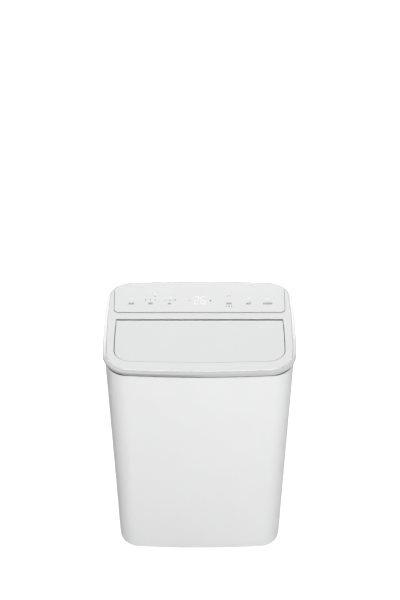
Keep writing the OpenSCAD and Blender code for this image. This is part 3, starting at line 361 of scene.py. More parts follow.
@dataclass(frozen=True)
class MouldedPlastic(Finish):
    """Injection-moulded plastic with a fine grain, slow colour drift and rubbed edges.

    Attributes:
        colour: base colour.
        roughness: mean roughness.
        grain: size of the surface grain.
        grain_depth: depth of the grain.
        drift: share by which the colour wanders.
        cloud, smear: sizes of the colour drift and of the gloss drift.
        wear: share by which edges are lighter.
        edge: radius of the moulded edges.
        metallic: share of pearl or metal flake.
    """

    colour: Triple
    roughness: float = 0.5
    grain: float = 0.9 * MM
    grain_depth: float = 0.02 * MM
    drift: float = 0.012
    cloud: float = 90 * MM
    smear: float = 22 * MM
    wear: float = 0.05
    edge: float = 0.6 * MM
    metallic: float = 0.0

    def paint(self, shader: Shader) -> None:
        """Paints the shader."""
        smear = shader.noise(self.smear, 4.0)
        grain = shader.noise(self.grain)
        rub = shader.edges(self.edge * 1.6)
        cloud = shader.noise(self.cloud, 3.0)
        body = shader.tint(cloud, self.colour, 1 - self.drift, 1 + self.drift)
        gloss = self.roughness + (smear - 0.5) * 0.08 + (grain - 0.5) * 0.05
        shader.set(
            Base_Color=shader.blend(rub * smear, body, shade(self.colour, 1 + self.wear)),
            Roughness=(gloss + rub * 0.06).clamped(),
            Metallic=self.metallic,
            IOR=1.49,
            Normal=shader.relief(grain, self.grain_depth, 0.6, shader.rounded(self.edge)),
        )


@dataclass(frozen=True)
class WornMetal(Finish):
    """Rolled, plated or painted metal with brushed streaks and dull edges.

    Attributes:
        colour: base colour.
        roughness: mean roughness.
        streak: stretch of the brushing along X, Y and Z.
        tarnish: colour of the dull patches.
        tarnish_share: share of the surface that they cover.
        metallic: 1 for bare metal, less for paint.
        brush, patch: sizes of the brushing and of the dull patches.
        edge: radius of the edges.
    """

    colour: Triple
    roughness: float = 0.32
    streak: Triple = (1.0, 1.0, 30.0)
    tarnish: Triple = (0.35, 0.35, 0.36)
    tarnish_share: float = 0.3
    metallic: float = 1.0
    brush: float = 9 * MM
    patch: float = 30 * MM
    edge: float = 0.4 * MM

    def paint(self, shader: Shader) -> None:
        """Paints the shader."""
        stretched = shader.add(
            "ShaderNodeVectorMath", {"operation": "MULTIPLY"}, {0: shader.place(), 1: self.streak}
        )
        brushed = shader.noise(self.brush, 4.0, stretched)
        start = 0.62 - self.tarnish_share * 0.5
        patch = shader.step(shader.noise(self.patch, 4.0), start, 0.8)
        rub = shader.edges(0.5 * MM)
        body = shader.tint(brushed, self.colour, 0.9, 1.06)
        dull = shader.blend(patch * 0.5, body, self.tarnish)
        shader.set(
            Base_Color=shader.blend(rub * 0.6, dull, shade(self.colour, 1.15)),
            Roughness=(self.roughness + patch * 0.18 + (brushed - 0.5) * 0.12).clamped(),
            Metallic=self.metallic,
            Normal=shader.relief(brushed, 0.03 * MM, 0.5, shader.rounded(self.edge)),
        )


@dataclass(frozen=True)
class FinStack(Finish):
    """Thin aluminium fins on edge, with copper showing at the tube bends.

    Attributes:
        half_width: half the width of the finned block; the tube bends lie beyond it.
        centre_x: middle of the block.
        pitch: distance between fins along X.
        painted_gap_shade, fin, dust: painted shade between the fins, colour of the fins and of the
            dust on them.
        copper: darkest and brightest colour of the tubes.
    """

    half_width: float
    centre_x: float
    pitch: float = 1.9 * MM
    # painted shade between the fins
    painted_gap_shade: Triple = (0.16, 0.17, 0.18)
    fin: Triple = (0.82, 0.84, 0.86)
    dust: Triple = (0.55, 0.54, 0.52)
    copper: tuple[Triple, Triple] = ((0.72, 0.36, 0.2), (0.9, 0.52, 0.34))

    def paint(self, shader: Shader) -> None:
        """Paints the shader."""
        across = shader.axes()[0]
        fin = shader.step(shader.stripes(across, self.pitch) * 0.5 + 0.5, 0.3, 0.75)
        dust = shader.noise(26 * MM, 4.0)
        bent = shader.noise(7 * MM, 3.0)
        outside = shader.away(across, self.centre_x)
        tube = shader.step(outside, self.half_width, self.half_width + 0.4 * MM)
        # the dark colour between the fins is painted shade of the gaps
        aluminium = shader.blend(fin * (0.75 + 0.25 * bent), self.painted_gap_shade, self.fin)
        dusty = shader.blend(dust * 0.22, aluminium, self.dust)
        shader.set(
            Base_Color=shader.blend(tube, dusty, shader.blend(dust, *self.copper)),
            Roughness=(0.34 + dust * 0.2 + (1.0 - fin) * 0.2).clamped(),
            Metallic=0.55 + fin * 0.4,
            Normal=shader.relief(shader.noise(5 * MM) * 0.3 + fin, 0.5 * MM, 0.7),
        )


@dataclass(frozen=True)
class FilterNet(Finish):
    """Woven air-filter net in a moulded frame: threads by place, holes by transparency.

    Attributes:
        centre: middle of the filter in X and Z.
        half: half size of the netted field inside the frame, in X and Z.
        pitch: distance between threads.
        colour: colour of the threads and the frame.
        fringe: width of the change from net to frame.
    """

    centre: Pair
    half: Pair
    pitch: float = 1.6 * MM
    colour: Triple = (0.30, 0.32, 0.34)
    fringe: float = 0.3 * MM

    def paint(self, shader: Shader) -> None:
        """Paints the shader."""
        x, _, z = shader.axes()
        threads, frame = [], []
        for across, centre, half in zip((x, z), self.centre, self.half):
            threads.append(shader.step(shader.stripes(across, self.pitch), 0.35, 0.7))
            frame.append(shader.step(shader.away(across, centre), half - self.fringe, half))
        thread = shader.math("MAXIMUM", *threads)
        dust = shader.noise(14 * MM, 4.0)
        shader.set(
            Base_Color=shader.tint(dust, self.colour, 0.85, 1.25),
            Roughness=0.55 + dust * 0.2,
            Alpha=shader.math("MAXIMUM", shader.math("MAXIMUM", *frame), thread),
            Normal=shader.relief(thread, 0.2 * MM, 0.8),
        )


@dataclass(frozen=True)
class WheelRubber(Finish):
    """Twin caster wheel: grey tyre outside, nylon hub inside, by distance from the axle.

    Attributes:
        axle: the axle's place in Y and Z.
        hub: radius of the hub.
        tyre, core, dust: colours of the tyre, of the hub and of the dust on the tyre.
    """

    axle: Pair
    hub: float
    tyre: Triple = (0.055, 0.057, 0.06)
    core: Triple = (0.16, 0.165, 0.17)
    dust: Triple = (0.26, 0.25, 0.24)

    def paint(self, shader: Shader) -> None:
        """Paints the shader."""
        _, y, z = shader.axes()
        off_y, off_z = y - self.axle[0], z - self.axle[1]
        radius = shader.math("SQRT", off_y * off_y + off_z * off_z)
        rim = shader.step(radius, self.hub, self.hub + 0.5 * MM)
        scuff = shader.noise(6 * MM, 5.0)
        dusty = shader.step(radius, self.hub + 1.5 * MM, self.hub + 6 * MM) * scuff
        tyre = shader.blend(dusty * 0.6, self.tyre, self.dust)
        shader.set(
            Base_Color=shader.blend(rim, shader.tint(scuff, self.core, 0.9, 1.15), tyre),
            Roughness=(0.42 + rim * 0.28 + (scuff - 0.5) * 0.2).clamped(),
            Normal=shader.relief(scuff, 0.08 * MM, 0.6, shader.rounded(0.6 * MM)),
        )


@dataclass(frozen=True)
class SoftRubber(Finish):
    """Matt black rubber with a dusty bloom."""

    colour: Triple = (0.03, 0.031, 0.033)

    def paint(self, shader: Shader) -> None:
        """Paints the shader."""
        bloom = shader.noise(8 * MM, 5.0)
        shader.set(
            Base_Color=shader.tint(bloom, self.colour, 1.0, 2.2),
            Roughness=(0.7 + bloom * 0.2).clamped(),
            Normal=shader.relief(
                shader.noise(0.8 * MM), 0.05 * MM, 0.7, shader.rounded(0.8 * MM)
            ),
        )


@dataclass(frozen=True)
class BoardLaminate(Finish):
    """Circuit-board laminate with tracks under green lacquer and pale pads.

    Attributes:
        colour: colour of the lacquer between the tracks.
        tin: colour of the pads.
    """

    colour: Triple = (0.02, 0.16, 0.07)
    tin: Triple = (0.7, 0.7, 0.68)

    def paint(self, shader: Shader) -> None:
        """Paints the shader."""
        track = shader.step(shader.cells(6 * MM, "DISTANCE_TO_EDGE"), 0.04, 0.07)
        pad = shader.step(shader.cells(4.2 * MM), 0.16, 0.13)
        mottle = shader.noise(5 * MM, 3.0)
        lacquer = shader.tint(track, self.colour, 1.9, 1.0)
        shader.set(
            Base_Color=shader.blend(pad * shader.step(mottle, 0.5, 0.56), lacquer, self.tin),
            Roughness=0.3 + mottle * 0.15,
            Coat_Weight=0.3,
            Normal=shader.relief(track, 0.06 * MM, 0.6),
        )


@dataclass(frozen=True)
class PrintedInk(Finish):
    """Screen-printed ink, a little uneven in cover."""

    colour: Triple

    def paint(self, shader: Shader) -> None:
        """Paints the shader."""
        cover = shader.noise(0.7 * MM, 3.0)
        shader.set(
            Base_Color=shader.tint(cover, self.colour, 0.8, 1.2),
            Roughness=0.4 + cover * 0.15,
            Normal=shader.relief(cover, 0.01 * MM, 0.4),
        )


@dataclass(frozen=True)
class Glow(Finish):
    """White light shining through a film, faded by the mesh's own "fade" attribute.

    Attributes:
        strength: strength of the light.
        soft: whether the piece fades out towards its edge.
        film: darkest and palest colour of the film.
        light: colour of the light.
    """

    strength: float
    soft: bool = False
    film: tuple[Triple, Triple] = ((0.88, 0.88, 0.88), (0.93, 0.93, 0.93))
    light: Triple = (1.0, 1.0, 1.0)

    def paint(self, shader: Shader) -> None:
        """Paints the shader."""
        spread = shader.noise(2.5 * MM)
        shader.set(
            Base_Color=shader.blend(spread, *self.film),
            Roughness=0.35 + spread * 0.1,
            Emission_Color=shader.tint(spread, self.light, 0.92, 1.0),
            Emission_Strength=self.strength,
        )
        if self.soft:
            fade = shader.add("ShaderNodeAttribute", {"attribute_name": "fade"}, {}, "Fac")
            shader.set(Alpha=shader.step(fade, 0.0, 1.0) * 0.9)


# ---- workshop ----


class Workshop:
    """Hands out materials and gives CAD nodes their finish and smooth shading."""

    def __init__(self, frame: Mapping[str, Mapping[str, Object]]) -> None:
        """Keeps the frame.
        """
        self.nodes = frame["nodes"]
        self.materials: dict[str, Material] = {}
        self.smoothing: dict[float, bpy.types.NodeTree] = {}

    def material(self, finish: Finish) -> Material:
        """The finish's material, built once."""
        if finish.name not in self.materials:
            self.materials[finish.name] = finish.build()
        return self.materials[finish.name]

    def welded(self, node: str) -> BMesh:
        """A copy of a CAD node's shape with its loose triangles joined."""
        shape = bmesh.new()
        shape.from_mesh(self.nodes[node].data)
        bmesh.ops.remove_doubles(shape, verts=shape.verts, dist=WELD)
        return shape

    def _smooth_tree(self, crease: float) -> bpy.types.NodeTree:
        """Geometry nodes that join loose triangles and shade them smooth below an angle."""
        if crease in self.smoothing:
            return self.smoothing[crease]
        tree = bpy.data.node_groups.new("smooth_below_crease", "GeometryNodeTree")
        for way in ("INPUT", "OUTPUT"):
            tree.interface.new_socket("Geometry", in_out=way, socket_type="NodeSocketGeometry")
        graph = Graph(tree)
        loose = graph.add("NodeGroupInput", {}, {})
        joined = graph.add(
            "GeometryNodeMergeByDistance", {}, {"Geometry": loose, "Distance": WELD}
        )
        faces = graph.add(
            "GeometryNodeSetShadeSmooth", {"domain": "FACE"}, {"Geometry": joined}
        )
        angle = graph.add("GeometryNodeInputMeshEdgeAngle", {}, {}, "Unsigned Angle")
        sharp = graph.add(
            "FunctionNodeCompare",
            {"operation": "GREATER_THAN"},
            {"A": angle, "B": math.radians(crease)},
        )
        edges = graph.add(
            "GeometryNodeSetShadeSmooth",
            {"domain": "EDGE"},
            {"Geometry": faces, "Selection": sharp, "Shade Smooth": False},
        )
        graph.feed(tree.nodes.new("NodeGroupOutput").inputs[0], edges)
        self.smoothing[crease] = tree
        return tree

    def smooth(self, piece: Object, crease: float) -> None:
        """Shades a piece smooth across edges flatter than the crease.

        Args:
            piece: the mesh object.
            crease: angle in degrees above which an edge stays sharp.
        """
        piece.modifiers.new("smooth", "NODES").node_group = self._smooth_tree(crease)
        piece.modifiers.new("weighted", "WEIGHTED_NORMAL").keep_sharp = True

    def dress(self, finish: Finish, *names: str, crease: float = 35.0) -> None:
        """Gives CAD nodes a finish.

        Args:
            finish: the finish.
            names: the nodes.
            crease: angle in degrees above which an edge stays sharp.
        """
        for name in names:
            node = self.nodes[name]
            for slot in node.material_slots:
                slot.link = "OBJECT"
                slot.material = self.material(finish)
            self.smooth(node, crease)
            log.info("%s dressed in %s", name, finish.name)

    def piece(self, name: str, shape: BMesh, finish: Finish, body: str, slot: str) -> Object:
        """Turns a bmesh into a finished piece.

        Args:
            name: the piece's name.
            shape: its shape, freed here.
            finish: its finish.
            body: the body that it rides on.
            slot: the record's material slot; not used.

        Returns:
            The new object, at the origin.
        """
        made = meshed(name, shape, self.material(finish))
        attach(made, body)
        log.info("%s made, %d faces", name, len(made.data.polygons))
        return made

    def rounded_copy(
        self,
        node: str,
        chosen: Chooser,
        radius: float,
        finish: Finish,
        slot: str,
    ) -> Object:
        """Rebuilds a CAD node with some of its edges rounded, and stands for it.

        Args:
            node: the CAD node.
            chosen: says which edges are rounded.
            radius: the rounding.
            finish: the finish.
            slot: the record's material slot.

        Returns:
            The new piece.
        """
        shape = self.welded(node)
        bmesh.ops.dissolve_limit(
            shape, angle_limit=math.radians(0.2), verts=shape.verts, edges=shape.edges
        )
        bmesh.ops.bevel(
            shape,
            geom=[edge for edge in shape.edges if chosen(edge)],
            offset=radius,
            offset_type="OFFSET",
            affect="EDGES",
            segments=4,
            profile=0.5,
            material=-1,
            clamp_overlap=True,
        )
        body = self.nodes[node]["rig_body"]
        made = self.piece(f"{node}_moulding", shape, finish, body, slot)
        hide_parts(node)
        self.smooth(made, crease=40.0)
        return made


def top_edges(level: float, slack: float = 0.05 * MM) -> Chooser:
    """Chooser of the edges between a level top face and the walls below it.

    Args:
        level: height of the top face.
        slack: how far an edge may lie from it.

    Returns:
        The chooser.
    """

    def chosen(edge: BMEdge) -> bool:
        """Whether both ends are on the level and only one face is flat."""
        if any(abs(vert.co.z - level) > slack for vert in edge.verts):
            return False
        flats = [abs(face.normal.z) > 0.9 for face in edge.link_faces]
        return len(flats) == 2 and flats[0] != flats[1]

    return chosen


# ---- finishes of this product ----

CASING_WHITE = MouldedPlastic("casing_plastic", (0.86, 0.862, 0.865), roughness=0.42)
RIM_SILVER = MouldedPlastic(
    "rim_plating", (0.95, 0.953, 0.958), roughness=0.2, grain_depth=0.0, metallic=1.0
)
DECK_WHITE = MouldedPlastic("deck_plastic", (0.80, 0.802, 0.805), roughness=0.55)
FLAP_WHITE = MouldedPlastic("flap_plastic", (0.785, 0.788, 0.79), roughness=0.55)
PANEL_WHITE = MouldedPlastic("panel_film", (0.815, 0.818, 0.82), roughness=0.38)
GRILLE_WHITE = MouldedPlastic("grille_plastic", (0.84, 0.845, 0.85), roughness=0.5)
# near-black colour of the top frame is painted shade: it stands in for the deep shade in the gap
# under the rim
NECK_PAINTED_SHADE = MouldedPlastic("neck_painted_shade", (0.014, 0.0145, 0.0155), roughness=0.5, wear=0.3)
DARK_PLASTIC = MouldedPlastic("duct_plastic", (0.06, 0.062, 0.066), roughness=0.48, wear=0.4)
CHASSIS_GREY = MouldedPlastic("chassis_plastic", (0.42, 0.43, 0.44), roughness=0.5, wear=0.15)
CASTER_BLACK = MouldedPlastic("caster_plastic", (0.05, 0.051, 0.054), roughness=0.45, wear=0.5)
COPPER = WornMetal("copper_tube", (0.93, 0.5, 0.33), 0.28, tarnish=(0.35, 0.16, 0.09))
COMPRESSOR_BLACK = WornMetal(
    "compressor_paint", (0.02, 0.021, 0.023), 0.38, (1.0, 1.0, 1.0), (0.06, 0.06, 0.06),
    metallic=0.1,
)
MOTOR_STEEL = WornMetal("plated_steel", (0.66, 0.67, 0.69), 0.34)
SCREW_STEEL = WornMetal("screw_steel", (0.72, 0.72, 0.73), 0.26, (6.0, 1.0, 6.0))
CAN_ALUMINIUM = WornMetal("can_aluminium", (0.85, 0.86, 0.88), 0.25)
RUBBER = SoftRubber("rubber_feet")
BOARD = BoardLaminate("board_laminate")
INK = PrintedInk("legend_ink", (0.012, 0.0125, 0.0135))
PALE_INK = PrintedInk("pale_ink", (0.45, 0.455, 0.46))
DIGIT_LIGHT = Glow("digit_light", strength=0.1)
LAMP_LIGHT = Glow("lamp_light", strength=0.3, soft=True)


# ---- signs of the panel ----


class Mark(Enum):
    """Signs printed on the panel."""

    MOON = "moon"
    RINGS = "rings"
    FAN = "fan"
    CLOCK = "clock"
    AIRFLOW = "airflow"
    FLAKE = "flake"
    DROP = "drop"
    SUN = "sun"
    LOCK = "lock"
    LOW = "low"
    MEDIUM = "medium"
    HIGH = "high"


SEGMENTS = {"2": "abged", "6": "afgedc"}  # lit segments of the digits
DISC_SIDES = 20
ARC_STEP = 15  # degrees between the points of an arc


@dataclass
class Pen:
    """Draws flat signs on the panel and raises them by the thickness of the ink.

    Places, sizes and widths are in panel millimetres, from the cover's centre.

    Attributes:
        middle: the cover's centre.
        level: height of the panel's face.
        thickness: thickness of the ink.
        shape: the drawing so far.
    """

    middle: Vector
    level: float
    thickness: float = 0.04 * MM
    shape: BMesh = field(default_factory=bmesh.new)

    def at(self, x: float, y: float) -> Vector:
        """Point on the panel."""
        return Vector((self.middle.x + x * MM, self.middle.y + y * MM, self.level))

    def bar(self, x: float, y: float, width: float, height: float, turn: float = 0.0) -> None:
        """Draws a bar.

        Args:
            x, y: its middle.
            width, height: its size.
            turn: its turn in degrees.
        """
        place = (
            Matrix.Translation(self.at(x, y))
            @ Matrix.Rotation(math.radians(turn), 4, "Z")
            @ Matrix.Diagonal((width * MM, height * MM, 1.0, 1.0))
        )
        bmesh.ops.create_grid(self.shape, x_segments=1, y_segments=1, size=0.5, matrix=place)

    def disc(self, x: float, y: float, radius: float) -> None:
        """Draws a disc."""
        bmesh.ops.create_circle(
            self.shape, cap_ends=True, segments=DISC_SIDES, radius=radius * MM,
            matrix=Matrix.Translation(self.at(x, y)),
        )

    def ring(
        self, x: float, y: float, radius: float, line: float, start: float = 0.0,
        sweep: float = 360.0,
    ) -> None:
        """Draws a ring or an arc.

        Args:
            x, y: its centre.
            radius: its mean radius.
            line: its width.
            start, sweep: first angle and turn in degrees.
        """
        centre = self.at(x, y)
        turn = Matrix.Rotation(math.radians(start), 3, "Z")
        ends = [
            self.shape.verts.new(centre + turn @ Vector(((radius + side * line / 2) * MM, 0, 0)))
            for side in (-1, 1)
        ]
        edge = self.shape.edges.new(ends)
        bmesh.ops.spin(
            self.shape, geom=[*ends, edge], cent=centre, axis=(0, 0, 1),
            angle=math.radians(sweep), steps=max(4, int(sweep / ARC_STEP)),
            use_merge=sweep >= 360,
        )

    def words(self, text: str, x: float, y: float, width: float, height: float) -> None:
        """Writes plain characters.

        Args:
            text: the characters.
            x, y: their middle.
            width, height: the size that they fill.
        """
        curve = bpy.data.curves.new("characters", "FONT")
        curve.body = text
        writer = show("characters", curve)
        bpy.context.view_layer.update()
        flat = bpy.data.meshes.new_from_object(
            writer.evaluated_get(bpy.context.evaluated_depsgraph_get())
        )
        low, high = (
            Vector(end(vert.co[axis] for vert in flat.vertices) for axis in range(3))
            for end in (min, max)
        )
        size = high - low
        flat.transform(
            Matrix.Translation(self.at(x, y))
            @ Matrix.Diagonal((width * MM / size.x, height * MM / size.y, 1.0, 1.0))
            @ Matrix.Translation(-(low + high) / 2)
        )
        self.shape.from_mesh(flat)
        bpy.data.objects.remove(writer)
        bpy.data.curves.remove(curve)
        bpy.data.meshes.remove(flat)

    def sign(self, mark: Mark, x: float, y: float, size: float) -> None:
        """Draws one of the signs.

        Args:
            mark: the sign.
            x, y: its middle.
            size: its height.
        """
        half = size / 2
        line = size * 0.14
        thin = line * 0.8
        if mark is Mark.MOON:
            self.ring(x, y, half * 0.66, half * 0.62, 100, 200)
            self.disc(x + size * 0.55, y + half * 0.4, half * 0.2)
        elif mark is Mark.RINGS:
            for step in (-1, 0, 1):
                self.ring(x + step * size, y, half * 0.82, line)
        elif mark is Mark.FAN:
            for turn in (90, 210, 330):
                away = Matrix.Rotation(math.radians(turn), 2) @ Vector((half * 0.5, 0))
                self.ring(x + away.x, y + away.y, half * 0.3, half * 0.4, turn - 60, 230)
            self.disc(x, y, half * 0.16)
        elif mark is Mark.CLOCK:
            self.ring(x, y, half * 0.85, line)
            self.bar(x, y + half * 0.25, line, half * 0.6)
            self.bar(x + half * 0.2, y, half * 0.5, line)
        elif mark is Mark.AIRFLOW:
            for row in (-1, 0, 1):
                for step, start in ((-1, 200), (1, 20)):
                    off_x, off_y = step * size * 0.7, row * half * 0.62
                    self.ring(x + off_x, y + off_y, size * 0.42, line * 0.9, start, 140)
        elif mark is Mark.FLAKE:
            for turn in (30, 90, 150):
                self.bar(x, y, size, line, turn)
            self.ring(x, y, half * 0.55, thin)
        elif mark is Mark.DROP:
            self.disc(x, y - half * 0.25, half * 0.6)
            self.bar(x, y + half * 0.3, half * 0.72, half * 0.72, 45)
        elif mark is Mark.SUN:
            self.disc(x, y, half * 0.45)
            for turn in (0, 45, 90, 135):
                self.bar(x, y, size, thin, turn)
        elif mark is Mark.LOCK:
            self.bar(x, y - half * 0.35, size * 0.8, half * 1.1)
            self.ring(x, y + half * 0.2, half * 0.5, line, 0, 180)
        else:
            lit = (Mark.LOW, Mark.MEDIUM, Mark.HIGH).index(mark)
            for step in range(3):
                tall = size * (0.45 + 0.27 * step if step <= lit else 0.22)
                self.bar(x + (step - 1) * size * 0.62, y - half + tall / 2, size * 0.4, tall)

    def digit(self, value: str, x: float, y: float, size: Pair, line: float) -> None:
        """Draws a seven-segment digit.

        Args:
            value: the digit.
            x, y: its middle.
            size: its width and height.
            line: width of its segments.
        """
        side, top = (size[0] - line) / 2, (size[1] - line) / 2
        row = size[1] / 4
        across, upright = size[0] - line * 1.5, size[1] / 2 - line * 1.1
        places = {
            "a": (0, top, across, line),
            "g": (0, 0, across, line),
            "d": (0, -top, across, line),
            "f": (-side, row, line, upright),
            "b": (side, row, line, upright),
            "e": (-side, -row, line, upright),
            "c": (side, -row, line, upright),
        }
        for name in SEGMENTS[value]:
            off_x, off_y, width, height = places[name]
            self.bar(x + off_x, y + off_y, width, height)

    def lift(self) -> BMesh:
        """Raises the drawing into a thin solid.

        Returns:
            The finished mesh.
        """
        risen = bmesh.ops.extrude_face_region(self.shape, geom=self.shape.faces[:])
        verts = [part for part in risen["geom"] if isinstance(part, BMVert)]
        bmesh.ops.translate(self.shape, verts=verts, vec=(0, 0, self.thickness))
        bmesh.ops.recalc_face_normals(self.shape, faces=self.shape.faces)
        return self.shape


# ---- top cover ----

BUTTON_ROW = 71.2  # Y of the row of button signs, in panel millimetres
SMALL_ROW = 80.9  # Y of the row of small signs above it
LOCK_AT, PLUS_AT, MINUS_AT = (68.2, 59.8), (25.2, 78.4), (-24.6, 79.2)
LOCK_RING, LOCK_STARTS, LOCK_SWEEP = (6.6, 1.0), (-26, 154), 52  # the arcs round the lock
SIGNS = (
    (Mark.MOON, -161.5, BUTTON_ROW, 3.4),
    (Mark.RINGS, -114.1, BUTTON_ROW, 3.5),
    (Mark.FAN, -69.7, BUTTON_ROW, 4.2),
    (Mark.CLOCK, 65.2, BUTTON_ROW, 4.0),
    (Mark.AIRFLOW, 113.7, BUTTON_ROW, 3.9),
    (Mark.FLAKE, -125.2, SMALL_ROW, 3.8),
    (Mark.DROP, -114.4, SMALL_ROW, 3.8),
    (Mark.FAN, -103.0, SMALL_ROW, 3.8),
    (Mark.LOW, -79.2, SMALL_ROW, 3.4),
    (Mark.MEDIUM, -68.8, SMALL_ROW, 3.4),
    (Mark.HIGH, -58.4, SMALL_ROW, 3.4),
    (Mark.SUN, -103.6, 93.6, 4.0),
    (Mark.LOCK, *LOCK_AT, 3.6),
)
WORDS = (
    ("24", 71.6, BUTTON_ROW, 5.4, 3.1),
    ("ON/OFF", 158.4, BUTTON_ROW, 20.0, 3.2),
    ("0-9", 68.0, 94.3, 8.0, 3.0),
)
SLEEP_BARS = ((-156.8, 2.4), (-154.6, 2.0), (-152.4, 1.6))  # X and height, beside the moon
SLEEP_LINE = 1.3
KEY_BARS = (  # X and width of the bar under each button sign
    (-158.9, 13.0), (-114.1, 11.0), (-69.7, 9.0), (68.2, 13.0), (113.7, 11.0), (158.4, 22.0),
)
PLUS_ARMS, MINUS_BAR = ((5.0, 1.3), (1.3, 5.0)), (5.6, 1.3)
LAMPS = (
    (-158.8, 86.6), (158.7, 86.6), (113.7, 86.6), (68.2, 102.7), (-103.6, 101.5),
    (-125.2, 88.6), (-114.4, 88.6), (-79.2, 88.6), (-68.8, 88.6), (-58.4, 88.6),
)
SET_TEMPERATURE = (("2", -7.2), ("6", 8.0))  # lit digits and their X


@dataclass
class TopCover:
    """Rim band, neck, deck, touch panel with its marks, and the display board below it.

    Attributes:
        shop: the workshop.
        key_drop: how far the bars lie below the button signs, in panel millimetres.
        key_line: width of those bars.
        digit_row: Y of the lit digits.
        digit_size: width and height of a lit digit.
        segment: line width of the lit digits.
        halo, halo_lift: radius of the halo round a lamp, and its height over the panel.
        deck_edge, panel_edge: roundings of the deck's and the panel's upper edges.
        shade_strip: width of the dark strip round the panel, painted shade in its groove.
        shade_strip_sink, shade_strip_foot: how far its upper and lower edges lie below the panel's
            face.
        shade_strip_stop: how far in front of the panel's rear edge it ends.
    """

    shop: Workshop
    key_drop: float = 3.6
    key_line: float = 1.9
    digit_row: float = 79.4
    digit_size: Pair = (12.0, 26.0)
    segment: float = 2.1
    halo: float = 3.4 * MM
    halo_lift: float = 0.02 * MM
    deck_edge: float = 1.0 * MM
    panel_edge: float = 1.6 * MM
    shade_strip: float = 0.55 * MM
    shade_strip_sink: float = 0.3 * MM
    shade_strip_foot: float = 1.2 * MM
    shade_strip_stop: float = 30 * MM

    def build(self) -> None:
        """Dresses the cover and adds the panel's marks."""
        low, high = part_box("top_rim")
        self.middle = (low + high) / 2
        self.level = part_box("control_panel")[1].z
        self.shop.dress(RIM_SILVER, "top_rim", crease=50.0)
        # top frame in near-black: painted shade of the gap under the rim
        self.shop.dress(NECK_PAINTED_SHADE, "top_frame")
        self.shop.dress(BOARD, "display_board")
        deck = top_edges(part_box("top_deck")[1].z)
        self.shop.rounded_copy("top_deck", deck, self.deck_edge, DECK_WHITE, "deck_white")
        panel = top_edges(self.level)
        self.shop.rounded_copy(
            "control_panel", panel, self.panel_edge, PANEL_WHITE, "panel_white"
        )
        # dark strip in the panel's groove: painted shade
        self._painted_groove_shade()
        self._legend()
        self._minus()
        self._digits()
        self._lamps()

    def _pen(self) -> Pen:
        """A pen on the panel's face."""
        return Pen(self.middle, self.level)

    def _painted_groove_shade(self) -> None:
        """Lays a thin dark strip in the groove along the panel's front and sides: painted shade of
        the groove.
        """
        shape = self.shop.welded("control_panel")
        flats = [face for face in shape.faces if abs(face.normal.z) > 0.2]
        bmesh.ops.delete(shape, geom=flats, context="FACES")
        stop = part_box("control_panel")[1].y - self.shade_strip_stop
        for place, way in (
            ((0, 0, self.level - self.shade_strip_sink), (0, 0, 1)),
            ((0, 0, self.level - self.shade_strip_foot), (0, 0, -1)),
            ((0, stop, 0), (0, 1, 0)),
        ):
            bmesh.ops.bisect_plane(
                shape,
                geom=[*shape.verts, *shape.edges, *shape.faces],
                plane_co=place,
                plane_no=way,
                clear_outer=True,
            )
        bmesh.ops.solidify(shape, geom=shape.faces[:], thickness=self.shade_strip)
        # the dark strip stands in for the shade in the panel's groove: painted shade
        self.shop.piece("panel_groove_shade", shape, DARK_PLASTIC, "cabinet", "dark_plastic")

    def _legend(self) -> None:
        """Prints the button signs in plain pictograms and numbers."""
        pen = self._pen()
        for sign in SIGNS:
            pen.sign(*sign)
        for words in WORDS:
            pen.words(*words)
        for x, tall in SLEEP_BARS:
            pen.bar(x, BUTTON_ROW, SLEEP_LINE, tall)
        for x, wide in KEY_BARS:
            pen.bar(x, BUTTON_ROW - self.key_drop, wide, self.key_line)
        for start in LOCK_STARTS:
            pen.ring(*LOCK_AT, *LOCK_RING, start, LOCK_SWEEP)
        for arm in PLUS_ARMS:
            pen.bar(*PLUS_AT, *arm)
        self.shop.piece("panel_legend", pen.lift(), INK, "cabinet", "dark_plastic")

    def _minus(self) -> None:
        """Prints the pale minus sign."""
        pen = self._pen()
        pen.bar(*MINUS_AT, *MINUS_BAR)
        self.shop.piece("panel_minus", pen.lift(), PALE_INK, "cabinet", "dark_plastic")

    def _digits(self) -> None:
        """Lights the set temperature."""
        pen = self._pen()
        for value, x in SET_TEMPERATURE:
            pen.digit(value, x, self.digit_row, self.digit_size, self.segment)
        self.shop.piece("panel_digits", pen.lift(), DIGIT_LIGHT, "cabinet", "panel_white")

    def _lamps(self) -> None:
        """Lights the small indicator lamps with a soft halo each."""
        shape = bmesh.new()
        fade = shape.verts.layers.float.new("fade")
        pen = Pen(self.middle, self.level + self.halo_lift)
        for spot in LAMPS:
            centre = pen.at(*spot)
            ring = bmesh.ops.create_circle(
                shape, cap_ends=True, cap_tris=True, segments=DISC_SIDES, radius=self.halo,
                matrix=Matrix.Translation(centre),
            )
            for vert in ring["verts"]:
                vert[fade] = 1.0 if (vert.co - centre).length < self.halo / 2 else 0.0
        self.shop.piece("panel_lamps", shape, LAMP_LIGHT, "cabinet", "panel_white")


# ---- outlet ----


@dataclass
class Outlet:
    """Swinging flap, its motor, the throat and the coupled air-guide vanes.

    Attributes:
        shop: the workshop.
        vanes: number of vanes.
        flap_edge: rounding of the flap's upper edges.
    """

    shop: Workshop
    vanes: int = 6
    flap_edge: float = 0.6 * MM

    def build(self) -> None:
        """Dresses the outlet."""
        flap = top_edges(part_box("outlet_flap")[1].z)
        self.shop.rounded_copy("outlet_flap", flap, self.flap_edge, FLAP_WHITE, "deck_white")
        self.shop.dress(MOTOR_STEEL, "flap_motor")
        self.shop.dress(DARK_PLASTIC, "outlet_throat", "vane_link")
        self.shop.dress(GRILLE_WHITE, *(f"vane_{i + 1}" for i in range(self.vanes)))


# ---- casing ----


